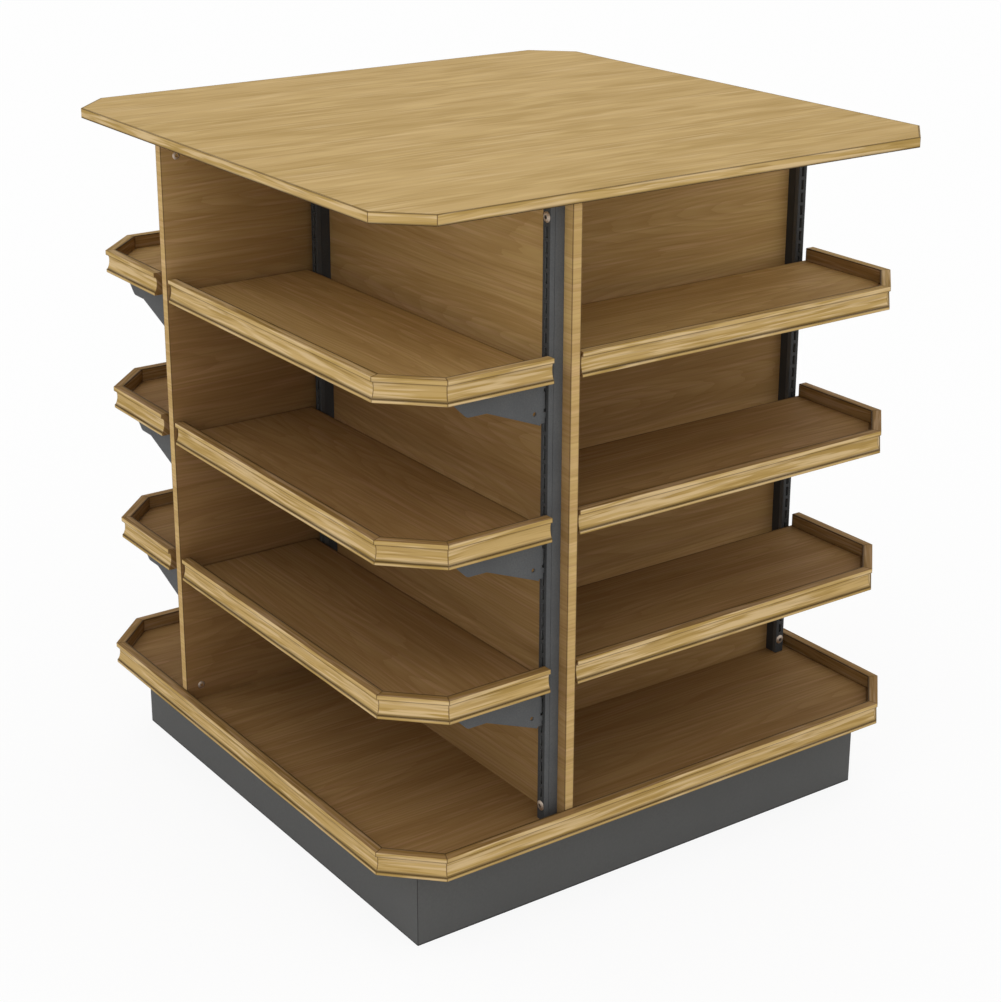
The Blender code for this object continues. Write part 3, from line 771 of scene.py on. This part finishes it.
# Marks of the oak, widest first: their length along the grain and width across it in millimetres, how
# ragged they are, the range of the noise in which they come up, how strong they get and which colour they
# have. Real pores are finer than a pixel of the render, so they are drawn 4 mm wide, and 8 mm on the top.
VENEER_MARKS = (
    (700, 45, 2.0, 0.40, 0.64, 0.45, "umber"),
    (120, 24, 2.0, 0.50, 0.70, 0.20, "umber"),
    (260, 12, 2.0, 0.48, 0.68, 0.30, "umber"),
    (240, 9, 2.0, 0.50, 0.70, 0.40, "tan"),
    (200, 4, 2.0, 0.52, 0.72, 0.30, "tan"),
    (220, 4, 2.0, 0.54, 0.72, 0.25, "line"),
)
TOP_MARKS = (
    (1100, 95, 2.0, 0.40, 0.64, 0.30, "olive"),
    (220, 38, 2.0, 0.46, 0.66, 0.45, "olive"),
    (180, 28, 2.0, 0.50, 0.68, 0.40, "sand"),
    (240, 9, 2.0, 0.56, 0.70, 0.50, "pale"),
    (200, 8, 2.0, 0.54, 0.72, 0.20, "line"),
)
MOULDING_MARKS = (
    (600, 30, 1.0, 0.42, 0.62, 0.35, "olive"),
    (190, 9, 2.0, 0.49, 0.60, 0.80, "olive"),
    (150, 7, 2.0, 0.49, 0.62, 0.85, "pale"),
    (110, 4, 2.0, 0.52, 0.70, 0.30, "line"),
)

MM_PER_METRE = 1000

# How far a mark runs through the wood, in metres: far more than a board, so that sawn edges show it straight
MARK_THROUGH = 0.6

# The slow wander of the grain: its length and width, and how far it carries a mark sideways, in metres
WANDER_SIZE = (0.45, 0.12, MARK_THROUGH)
WANDER = 0.012

# Growth rings cut at a slant: the length and width of the arches that they show as, in metres, how softly two
# arches meet and how many rings lie in a width
ARCH_SIZE = (1.9, 0.15, MARK_THROUGH)
ARCH_SOFT = 0.6
ARCH_RINGS = 22.0

# How many ragged places lie in an arch, and how far they go, in arches
RAGGED_PLACES = 6.0
RAGGED = 0.06

# How much of a ring its dark part takes, and how strong that is
RING_DARK = 0.6
RING_STRENGTH = 0.42

# The range that most of a noise lies in
NOISE_RANGE = (0.3, 0.7)

# Oak under its lacquer: the range of its roughness, its gloss, and the strength and depth of its open pores
OAK_ROUGHNESS = (0.56, 0.68)
OAK_SPECULAR = 0.04
PORE_BUMP = 0.10
PORE_DEPTH = 0.0003

# A mottled finish: where its mottle lies in the noise, how far its roughness strays either way, and the
# strength and depth of its bumps
MOTTLE_RANGE = (0.12, 0.42)
ROUGHNESS_STRAY = 0.05
GRIT_BUMP = 0.15
GRIT_DEPTH = 0.0002

# Numbers of a Mix node's sockets for colours, because its other sockets have the same names
FACTOR = 0
FIRST = 6
SECOND = 7
MIXED = 2


def fill(tree, node, inputs):
    """Give a node its inputs, by name or number, as values or as linked sockets."""
    for key, value in inputs.items():
        if isinstance(value, bpy.types.NodeSocket):
            tree.links.new(value, node.inputs[key])
        else:
            node.inputs[key].default_value = value


def add(tree, kind, inputs, **settings):
    """Add a node with its settings and its inputs."""
    node = tree.nodes.new(kind)
    for key, value in settings.items():
        setattr(node, key, value)
    fill(tree, node, inputs)
    return node


def new_material(name):
    """A material with its node tree and its Principled shader."""
    material = bpy.data.materials.new(name)
    material.use_nodes = True
    tree = material.node_tree
    return material, tree, tree.nodes["Principled BSDF"]


def opaque(rgb):
    """A colour property with full opacity."""
    return (*rgb, 1.0)


def painted_shade_and_stain(tree, shown, shade_tint, edge):
    """A colour darkened by its painted shade, and covered by its stain: edge lines and painted light and
    shade.
    """
    tone = add(tree, "ShaderNodeAttribute", {}, attribute_name="tone").outputs["Fac"]
    stain_and_painted_light = add(tree, "ShaderNodeAttribute", {}, attribute_name="stain_and_painted_light").outputs["Fac"]
    tinted = add(
        tree, "ShaderNodeMix", {FACTOR: tone, FIRST: shown, SECOND: opaque(shade_tint)},
        data_type="RGBA", blend_type="MULTIPLY",
    ).outputs[MIXED]
    return add(
        tree, "ShaderNodeMix", {FACTOR: stain_and_painted_light, FIRST: tinted, SECOND: opaque(edge)}, data_type="RGBA"
    ).outputs[MIXED]


def ringed(tree, place, shown, tint):
    """A colour with growth rings, which show as pointed arches along the grain.

    The rings lie at even steps of the distance to the nearest of some scattered points, measured in arches.
    Noise makes them ragged. Each starts dark and fades outwards.
    """
    fitted = add(
        tree, "ShaderNodeMapping", {"Vector": place, "Scale": ARCH_SIZE}, vector_type="TEXTURE"
    ).outputs[0]
    away = add(
        tree, "ShaderNodeTexVoronoi", {"Vector": fitted, "Scale": 1.0, "Smoothness": ARCH_SOFT},
        voronoi_dimensions="2D", feature="SMOOTH_F1",
    ).outputs["Distance"]
    noise = add(tree, "ShaderNodeTexNoise", {"Vector": fitted, "Scale": RAGGED_PLACES}).outputs["Fac"]
    ragged = add(tree, "ShaderNodeMath", {0: noise, 1: RAGGED, 2: away}, operation="MULTIPLY_ADD")
    rings = add(tree, "ShaderNodeMath", {0: ragged.outputs[0], 1: ARCH_RINGS}, operation="MULTIPLY")
    within = add(tree, "ShaderNodeMath", {0: rings.outputs[0]}, operation="FRACT").outputs[0]
    mark = add(
        tree, "ShaderNodeMapRange", {0: within, 1: 0.0, 2: RING_DARK, 3: RING_STRENGTH, 4: 0.0}
    ).outputs[0]
    return add(
        tree, "ShaderNodeMix", {FACTOR: mark, FIRST: shown, SECOND: opaque(tint)}, data_type="RGBA"
    ).outputs[MIXED]


def oak(context, name, marks, rings=False):
    """Oak under a matt lacquer: darker and paler streaks and fine lines of pores that follow the grain.

    The grain attribute gives the place in the wood in metres. It wanders slowly, and each row of marks is
    noise stretched to the size of the mark. The finest marks also give the open pores' bump and dullness.
    """
    found = bpy.data.materials.get(name)
    if found:
        return found
    look = context.scene.merchandiser_oak
    material, tree, shader = new_material(name)
    grain = add(tree, "ShaderNodeAttribute", {}, attribute_name="grain").outputs["Vector"]
    slow = add(tree, "ShaderNodeMapping", {"Vector": grain, "Scale": WANDER_SIZE}, vector_type="TEXTURE")
    drift = add(tree, "ShaderNodeTexNoise", {"Vector": slow.outputs[0], "Scale": 1.0, "Detail": 1.0})
    place = add(
        tree, "ShaderNodeVectorMath", {0: drift.outputs["Color"], 1: (0.0, 2 * WANDER, 0.0), 2: grain},
        operation="MULTIPLY_ADD",
    ).outputs[0]
    shown = opaque(look.mid)
    for long, wide, ragged, low, high, strength, tint in marks:
        size = (long / MM_PER_METRE, wide / MM_PER_METRE, MARK_THROUGH)
        fitted = add(tree, "ShaderNodeMapping", {"Vector": place, "Scale": size}, vector_type="TEXTURE")
        noise = add(
            tree, "ShaderNodeTexNoise", {"Vector": fitted.outputs[0], "Scale": 1.0, "Detail": ragged}
        ).outputs["Fac"]
        mark = add(
            tree, "ShaderNodeMapRange", {0: noise, 1: low, 2: high, 3: 0.0, 4: strength},
            interpolation_type="SMOOTHSTEP",
        ).outputs[0]
        shown = add(
            tree, "ShaderNodeMix", {FACTOR: mark, FIRST: shown, SECOND: opaque(getattr(look, tint))},
            data_type="RGBA",
        ).outputs[MIXED]
    if rings:
        shown = ringed(tree, place, shown, look.umber)
    dulled = dict(enumerate((noise, *NOISE_RANGE, *OAK_ROUGHNESS)))
    rough = add(tree, "ShaderNodeMapRange", dulled).outputs[0]
    bump = add(tree, "ShaderNodeBump", {"Height": noise, "Strength": PORE_BUMP, "Distance": PORE_DEPTH})
    # Over the grain lie the painted shade and the stain: dark edge lines, and painted shade in the coves
    fill(tree, shader, {
        "Base Color": painted_shade_and_stain(tree, shown, look.shade_tint, look.edge), "Roughness": rough,
        "Normal": bump.outputs[0], "Specular IOR Level": OAK_SPECULAR,
    })
    return material


def board_oak(context):
    """Sliced oak veneer on the boards: broad soft streaks, and growth rings that show as pointed arches."""
    return oak(context, "sliced_oak_veneer", VENEER_MARKS, rings=True)


def top_oak(context):
    """Rotary-cut oak veneer on the top: streaks twice as wide as on the boards, with pale fibres in them."""
    return oak(context, "rotary_cut_oak_veneer", TOP_MARKS)


def strip_oak(context):
    """Solid oak of the mouldings and bands: narrow streaks of stronger contrast along each strip."""
    return oak(context, "planed_oak", MOULDING_MARKS)


def mottled(name, base, speck, shade_tint, edge, grit, spread, roughness, specular=0.5, metallic=0.0):
    """A surface of one colour with a fine mottle of a second one and a matching bump.

    Grit is the size of the bumps and spread that of the patches of colour, both in metres. The third
    colour tints where the surface has painted shade, and the fourth covers its stain.
    """
    found = bpy.data.materials.get(name)
    if found:
        return found
    material, tree, shader = new_material(name)
    place = add(tree, "ShaderNodeTexCoord", {}).outputs["Object"]
    fine, wide = (
        add(tree, "ShaderNodeTexNoise", {"Vector": place, "Scale": 1 / size, "Detail": 2.0}).outputs["Fac"]
        for size in (grit, spread)
    )
    both = add(tree, "ShaderNodeMath", {0: fine, 1: wide}, operation="MULTIPLY").outputs[0]
    mark = add(tree, "ShaderNodeMapRange", dict(enumerate((both, *MOTTLE_RANGE)))).outputs[0]
    shown = add(
        tree, "ShaderNodeMix", {FACTOR: mark, FIRST: opaque(base), SECOND: opaque(speck)}, data_type="RGBA"
    ).outputs[MIXED]
    strays = (roughness - ROUGHNESS_STRAY, roughness + ROUGHNESS_STRAY)
    rough = add(tree, "ShaderNodeMapRange", dict(enumerate((wide, *NOISE_RANGE, *strays)))).outputs[0]
    bump = add(tree, "ShaderNodeBump", {"Height": fine, "Strength": GRIT_BUMP, "Distance": GRIT_DEPTH})
    fill(tree, shader, {
        "Base Color": painted_shade_and_stain(tree, shown, shade_tint, edge), "Roughness": rough, "Normal": bump.outputs[0],
        "Specular IOR Level": specular, "Metallic": metallic,
    })
    return material


def powder_coat(context):
    """Charcoal powder coat: matt, with the orange peel of baked powder, drawn 3 mm wide so as to show."""
    look = context.scene.merchandiser_steel_look
    # The tint paints shade on the slotted faces, and the lining colour paints light inside the posts
    return mottled(
        "charcoal_powder_coat", look.coat, look.coat_speck, look.coat_shade_tint, look.inside_painted_light,
        grit=0.003, spread=0.06, roughness=0.62, specular=0.12,
    )


def laminate(context):
    """Charcoal laminate of the plinth: a dead matt sheet with a faint cloudy mottle and dark joints."""
    look = context.scene.merchandiser_steel_look
    # The plinth's colour, multiplied in, paints shade on the mitred cut ends
    return mottled(
        "charcoal_laminate", look.plinth, look.plinth_speck, look.plinth, look.edge,
        grit=0.004, spread=0.12, roughness=0.68, specular=0.12,
    )


def plated(context):
    """Nickel-plated steel of the bolts: a warm bright metal, dulled in patches."""
    look = context.scene.merchandiser_steel_look
    return mottled(
        "nickel_plated_steel", look.bolt, look.bolt_worn, look.bolt, look.edge,
        grit=0.002, spread=0.01, roughness=0.55, metallic=1.0,
    )


def softwood(context):
    """Planed softwood of the hidden cleats and rails: plain, paler and cloudier than the oak."""
    look = context.scene.merchandiser_oak
    return mottled(
        "planed_softwood", look.mid, look.pale, look.shade_tint, look.edge,
        grit=0.006, spread=0.05, roughness=0.7, specular=0.2,
    )


# Operators


class MERCHANDISER_OT_top(bpy.types.Operator):
    """Make the top board and the eight strips of its edge band"""

    bl_idname = "merchandiser.top"
    bl_label = "Top"

    def execute(self, context):
        sizes = context.scene.merchandiser_joinery
        low, high = TOP_BAND
        rim = chamfered_square(low, high, sizes.top_cut)
        board = slab(rim + sizes.band * mitre_steps(rim), sizes.board, sizes, sizes.stripe)
        # A little painted shade on the top board's faces
        board = board._replace(tone=context.scene.merchandiser_oak.top_painted_shade * board.tone)
        make_piece("top_veneered_board", board.points + (0, 0, low.z), board, top_oak(context), CARCASS,
                   ("top_board",), board.points[:, (1, 0, 2)])
        profile = band_profile(sizes, sizes.band, sizes.board)
        round_the_rim(context, "top_band", rim, profile, low.z, "top_edge_band")
        return {"FINISHED"}


def round_the_rim(context, name, rim, profile, bottom, node):
    """Lay a profile along each side of a closed rim that turns by an eighth, mitred where two sides meet."""
    for count, (start, end) in enumerate(zip(rim, np.roll(rim, -1, axis=0)), 1):
        run = np.linalg.norm(end - start)
        side = strip(profile, run, (MITRE, MITRE), context.scene.merchandiser_joinery)
        make_piece(f"{name}_{count}", laid_along(side.points, start, end, bottom), side,
                   strip_oak(context), CARCASS, (node,), strip_grain(side))


class MERCHANDISER_OT_deck(bpy.types.Operator):
    """Make the deck board and the eight strips of its moulding"""

    bl_idname = "merchandiser.deck"
    bl_label = "Deck"

    def execute(self, context):
        sizes = context.scene.merchandiser_joinery
        low, high = DECK_MOULDING
        rim = chamfered_square(low, high, sizes.cut)
        # The deck takes the deep painted shade of the lower bays
        tone = context.scene.merchandiser_oak.lower_painted_shade
        board = slab(rim + sizes.depth * mitre_steps(rim), sizes.board, sizes, sizes.rear_stripe)
        board = board._replace(tone=tone * board.tone)
        make_piece("deck_veneered_board", board.points + (0, 0, low.z), board, board_oak(context), CARCASS,
                   ("deck_board",), board.points[:, (1, 0, 2)])
        profile = moulding_profile(sizes, high.z - low.z, tone)
        round_the_rim(context, "deck_moulding_strip", rim, profile, low.z, "deck_moulding")
        return {"FINISHED"}


class MERCHANDISER_OT_plinth(bpy.types.Operator):
    """Make the four mitred plinth boards and finish the rails that cross inside them"""

    bl_idname = "merchandiser.plinth"
    bl_label = "Plinth"

    def execute(self, context):
        sizes = context.scene.merchandiser_joinery
        low, high = PLINTH
        start, end = np.array((low.y, low.y)), np.array((-low.y, low.y))
        profile = band_profile(sizes, sizes.board, high.z - low.z)
        board = strip(profile, end[0] - start[0], (1.0, 1.0), sizes)
        placed = laid_along(board.points, start, end, low.z)
        for bay in BAYS:
            make_piece(f"{bay}_laminated_plinth", turned(placed, bay), board, laminate(context), CARCASS,
                       (f"{bay}_plinth_board",))
        finish_nodes(("plinth_upper_cross_rail", "plinth_lower_cross_rail"), softwood(context))
        return {"FINISHED"}


class MERCHANDISER_OT_walls(bpy.types.Operator):
    """Make the four wall panels and finish the cleats inside their core"""

    bl_idname = "merchandiser.walls"
    bl_label = "Wall panels"

    def execute(self, context):
        low, high = WALL
        panel = wall_surface(context.scene.merchandiser_joinery, low, high)
        placed = panel.points[:, (2, 0, 1)] + low
        for bay in BAYS:
            make_piece(f"{bay}_veneered_panel", turned(placed, bay), panel, board_oak(context), CARCASS,
                       (f"{bay}_wall_panel",), panel.points[:, (2, 1, 0)])
        finish_nodes(("core_foot_cleat", "core_head_cleat"), softwood(context))
        return {"FINISHED"}


def wall_surface(sizes, low, high):
    """A wall panel with painted shade on its faces and none on its sawn ends, as (through, height, along)
    points from its low corner.

    Formula: a slab of the panel's cross-section, as thick as the panel is long. Its painted shade runs
    evenly from the inner end to the open end, and changes behind the highest shelf, whose foot and head
    have rows of points. The slab's own mask is turned round, because here the flat ends are the unshaded
    ones.
    """
    foot, head = (corner.z - low.z for corner in SHELVES["high"])
    thick, tall, run = high.y - low.y, high.z - low.z, high.x - low.x
    rows = np.array((0, foot, head, tall))
    outline = np.column_stack((np.repeat((thick, 0), len(rows)), np.append(rows, rows[::-1])))
    panel = slab(outline, run, sizes, sizes.stripe)
    through, height, along = panel.points.T
    above = np.interp(height, (foot, head), (0, 1))
    faces = []
    # Painted shade on each face, from the inner end to the open end, below the highest shelf and above it
    for painted_shades in (FRONT_PAINTED_SHADES, BACK_PAINTED_SHADES):
        painted_shade_below, painted_shade_above = (inner + (open_end - inner) * along / run for inner, open_end in painted_shades)
        faces.append(painted_shade_below + (painted_shade_above - painted_shade_below) * above)
    tone = np.where(through < thick / 2, *faces)
    return panel._replace(tone=(1 - panel.tone) * tone)


class MERCHANDISER_OT_posts(bpy.types.Operator):
    """Make the eight slotted posts"""

    bl_idname = "merchandiser.posts"
    bl_label = "Slotted posts"

    def execute(self, context):
        sizes = context.scene.merchandiser_steel
        for side, (low, high) in POSTS.items():
            tube = post_tube(sizes, high.x - low.x, high.z - low.z, side == "inner")
            placed = tube.points + ((low.x + high.x) / 2, WALL[0].y - sizes.post_gap, low.z)
            for bay in BAYS:
                make_piece(f"{bay}_{side}_slotted_tube", turned(placed, bay), tube, powder_coat(context),
                           CARCASS, (f"{bay}_{side}_post",))
        return {"FINISHED"}


class MERCHANDISER_OT_bolts(bpy.types.Operator):
    """Make the sixteen through bolts that hold the posts to the panels"""

    bl_idname = "merchandiser.bolts"
    bl_label = "Through bolts"

    def execute(self, context):
        sizes = context.scene.merchandiser_steel
        bolt = bolt_surface(sizes, WALL[0].y - sizes.post_gap - sizes.post_depth, WALL[1].y)
        for side, (low, high) in POSTS.items():
            steps = round((high.z - low.z - 2 * sizes.margin) / sizes.pitch)
            for end, step in (("low", 0), ("high", steps)):
                height = low.z + sizes.margin + step * sizes.pitch
                placed = bolt.points + ((low.x + high.x) / 2, 0, height)
                for bay in BAYS:
                    make_piece(f"{bay}_{side}_{end}_bolt", turned(placed, bay), bolt, plated(context),
                               CARCASS)
        return {"FINISHED"}


class MERCHANDISER_OT_brackets(bpy.types.Operator):
    """Make the twenty-four hooked brackets"""

    bl_idname = "merchandiser.brackets"
    bl_label = "Brackets"

    def execute(self, context):
        sizes = context.scene.merchandiser_steel
        bracket = bracket_plate(sizes)
        plate = bracket.points[:, (2, 0, 1)] * (1, -1, 1)
        for (level, side), (low, high) in BRACKETS.items():
            placed = plate + ((low.x + high.x) / 2, low.y + sizes.reach, high.z - sizes.rise)
            for bay in BAYS:
                make_piece(f"{bay}_{level}_{side}_knife_bracket", turned(placed, bay), bracket,
                           powder_coat(context), f"brackets_{bay}_{level}",
                           (f"{bay}_{level}_{side}_bracket",))
        return {"FINISHED"}


class MERCHANDISER_OT_shelves(bpy.types.Operator):
    """Make the twelve shelves, each a board with three strips of moulding"""

    bl_idname = "merchandiser.shelves"
    bl_label = "Shelves"

    def execute(self, context):
        look = context.scene.merchandiser_oak
        for level, (low, high) in SHELVES.items():
            # Painted shade: the highest shelves take less of it than the lower ones
            tone = look.high_shelf_painted_shade if level == "high" else look.lower_painted_shade
            for place, points, surface, grain in shelf_surfaces(context, low, high, tone):
                material = board_oak(context) if place == "board" else strip_oak(context)
                for bay in BAYS:
                    make_piece(f"{bay}_{level}_shelf_{place}", turned(points, bay), surface, material,
                               f"shelf_{bay}_{level}", (f"{bay}_{level}_shelf",), grain)
        return {"FINISHED"}


def shelf_surfaces(context, low, high, tone):
    """A shelf's board and its front, corner and end mouldings, as (name, placed points, surface, grain).

    Formula: the mouldings follow the rim from the wall along the front, across the cut corner and back
    along the open end. The board is the rim's outline set in by the moulding's depth on those three sides.
    """
    sizes = context.scene.merchandiser_joinery
    rim = np.array((
        (low.x, low.y), (high.x - sizes.cut, low.y), (high.x, low.y + sizes.cut), (high.x, high.y),
        (low.x, high.y),
    ))
    steps = mitre_steps(rim)
    steps[[0, 3, 4]] = ((0, 1), (-1, 0), (0, 0))
    board = slab(rim + sizes.depth * steps, sizes.board, sizes, sizes.rear_stripe)
    # The board's faces take the shelf's painted shade
    board = board._replace(tone=tone * board.tone)
    made = [("board", board.points + (0, 0, low.z), board, board.points)]
    profile = moulding_profile(sizes, high.z - low.z, tone)
    places = (("front", (0.0, MITRE)), ("corner", (MITRE, MITRE)), ("end", (MITRE, 0.0)))
    for (place, slopes), start, end in zip(places, rim, rim[1:]):
        side = strip(profile, np.linalg.norm(end - start), slopes, sizes)
        placed = laid_along(side.points, start, end, low.z)
        made.append((f"{place}_moulding", placed, side, strip_grain(side)))
    return made


class MERCHANDISER_OT_stage(bpy.types.Operator):
    """Make the pale floor, the lights and the camera"""

    bl_idname = "merchandiser.stage"
    bl_label = "Stage"

    def execute(self, context):
        look = context.scene.merchandiser_stage
        context.scene.view_settings.view_transform = "Standard"
        make_floor(context, look)
        light_world(context, look)
        place_key_light(context, look)
        place_camera(context, look)
        return {"FINISHED"}


def background_rays(tree):
    """A value that is 1 on rays that show the stage itself: from the camera, off gloss and through glass."""
    path = add(tree, "ShaderNodeLightPath", {})
    first = add(tree, "ShaderNodeMath", {
        0: path.outputs["Is Camera Ray"], 1: path.outputs["Is Glossy Ray"],
    }, operation="MAXIMUM")
    return add(tree, "ShaderNodeMath", {
        0: first.outputs[0], 1: path.outputs["Is Transmission Ray"],
    }, operation="MAXIMUM").outputs[0]


def make_floor(context, look):
    """A wide round floor of white paper just below the object, which keeps the object's faint shadow.

    Formula: rings of radius r at angle a, at (r cos a, r sin a), with one face inside the first ring.
    """
    radius = np.array(FLOOR_RADII)[:, None]
    angle = 2 * np.pi * np.arange(FLOOR_SIDES) / FLOOR_SIDES
    x, y = radius * np.cos(angle), radius * np.sin(angle)
    points = np.stack((x, y, np.full_like(x, CAD_BOX[0].z - FLOOR_GAP)), axis=2).reshape(-1, 3)
    faces = grid_faces(*x.shape).reshape(-1, 4)[:, ::-1].tolist() + [list(range(FLOOR_SIDES))]
    mesh = bpy.data.meshes.new("floor")
    mesh.from_pydata(points.tolist(), [], faces)
    material, tree, shader = new_material("white_paper_floor")
    tree.nodes.remove(shader)
    paper = add(tree, "ShaderNodeBsdfDiffuse", {"Color": opaque(look.floor)})
    glow = add(tree, "ShaderNodeEmission", {"Color": WHITE, "Strength": 1.0})
    seen = add(tree, "ShaderNodeMath", {0: background_rays(tree), 1: look.glow}, operation="MULTIPLY")
    both = add(tree, "ShaderNodeMixShader", {0: seen.outputs[0], 1: paper.outputs[0], 2: glow.outputs[0]})
    fill(tree, tree.nodes["Material Output"], {"Surface": both.outputs[0]})
    mesh.materials.append(material)
    obj = bpy.data.objects.new("floor", mesh)
    context.scene.collection.objects.link(obj)


def light_world(context, look):
    """An even white sky that is plain white where it is seen and softer where it lights."""
    world = bpy.data.worlds.new("white_studio")
    world.use_nodes = True
    tree = world.node_tree
    tree.nodes.clear()
    lit = add(tree, "ShaderNodeBackground", {"Color": WHITE, "Strength": look.sky})
    seen = add(tree, "ShaderNodeBackground", {"Color": WHITE, "Strength": 1.0})
    rays = background_rays(tree)
    both = add(tree, "ShaderNodeMixShader", {0: rays, 1: lit.outputs[0], 2: seen.outputs[0]})
    add(tree, "ShaderNodeOutputWorld", {"Surface": both.outputs[0]})
    context.scene.world = world


def direction(azimuth, elevation):
    """The unit step from the object towards a direction about it."""
    flat = math.cos(elevation)
    return Vector((math.sin(azimuth) * flat, -math.cos(azimuth) * flat, math.sin(elevation)))


def place_key_light(context, look):
    """A large soft square light, turned to the object's middle."""
    data = bpy.data.lights.new("key_light", "AREA")
    data.energy = look.key
    data.size = look.key_size
    middle = (CAD_BOX[0] + CAD_BOX[1]) / 2
    step = direction(look.key_azimuth, look.key_elevation)
    light = bpy.data.objects.new("key_light", data)
    light.location = middle + look.key_distance * step
    light.rotation_euler = (-step).to_track_quat("-Z", "Y").to_euler()
    context.scene.collection.objects.link(light)


def place_camera(context, look):
    """A camera at the photograph's viewing angle, shifted as the photograph is framed."""
    data = bpy.data.cameras.new("camera")
    data.sensor_fit = "HORIZONTAL"
    data.sensor_width = SENSOR_WIDTH
    data.lens = look.lens
    data.shift_x = 0.5 - look.centre_x / IMAGE_WIDTH
    data.shift_y = (look.centre_y - IMAGE_HEIGHT / 2) / IMAGE_WIDTH
    back = direction(look.azimuth, look.elevation)
    right = Vector((math.cos(look.azimuth), math.sin(look.azimuth), 0))
    turn = Matrix((right, back.cross(right), back)).transposed()
    camera = bpy.data.objects.new("camera", data)
    camera.matrix_world = Matrix.Translation(look.place) @ turn.to_4x4()
    context.scene.collection.objects.link(camera)
    context.scene.camera = camera


class MERCHANDISER_PT_panel(bpy.types.Panel):
    """The merchandiser's sizes, colours and pieces"""

    bl_idname = "MERCHANDISER_PT_panel"
    bl_label = "Merchandiser"
    bl_space_type = "VIEW_3D"
    bl_region_type = "UI"
    bl_category = "Merchandiser"

    def draw(self, context):
        layout = self.layout
        for operator in OPERATORS:
            layout.operator(operator.bl_idname)
        for name, kind in GROUPS.items():
            group = getattr(context.scene, name)
            box = layout.box()
            box.label(text=kind.__doc__)
            for key in kind.__annotations__:
                box.prop(group, key)


OPERATORS = (
    MERCHANDISER_OT_top,
    MERCHANDISER_OT_deck,
    MERCHANDISER_OT_plinth,
    MERCHANDISER_OT_walls,
    MERCHANDISER_OT_posts,
    MERCHANDISER_OT_bolts,
    MERCHANDISER_OT_brackets,
    MERCHANDISER_OT_shelves,
    MERCHANDISER_OT_stage,
)
GROUPS = {
    "merchandiser_joinery": JoinerySizes,
    "merchandiser_steel": SteelSizes,
    "merchandiser_oak": OakLook,
    "merchandiser_steel_look": SteelLook,
    "merchandiser_stage": StageLook,
}


def register():
    """Register every class and hang the property groups on the scene."""
    for kind in (*GROUPS.values(), *OPERATORS, MERCHANDISER_PT_panel):
        bpy.utils.register_class(kind)
    for name, kind in GROUPS.items():
        setattr(bpy.types.Scene, name, PointerProperty(type=kind))


def unregister():
    """Undo what register does, in the opposite order."""
    for name in GROUPS:
        delattr(bpy.types.Scene, name)
    for kind in (MERCHANDISER_PT_panel, *reversed(OPERATORS), *reversed(GROUPS.values())):
        bpy.utils.unregister_class(kind)


def main():
    """Make every piece and the stage."""
    register()
    bpy.ops.merchandiser.top()
    bpy.ops.merchandiser.deck()
    bpy.ops.merchandiser.plinth()
    bpy.ops.merchandiser.walls()
    bpy.ops.merchandiser.posts()
    bpy.ops.merchandiser.bolts()
    bpy.ops.merchandiser.brackets()
    bpy.ops.merchandiser.shelves()
    bpy.ops.merchandiser.stage()


if __name__ == "__main__":
    main()
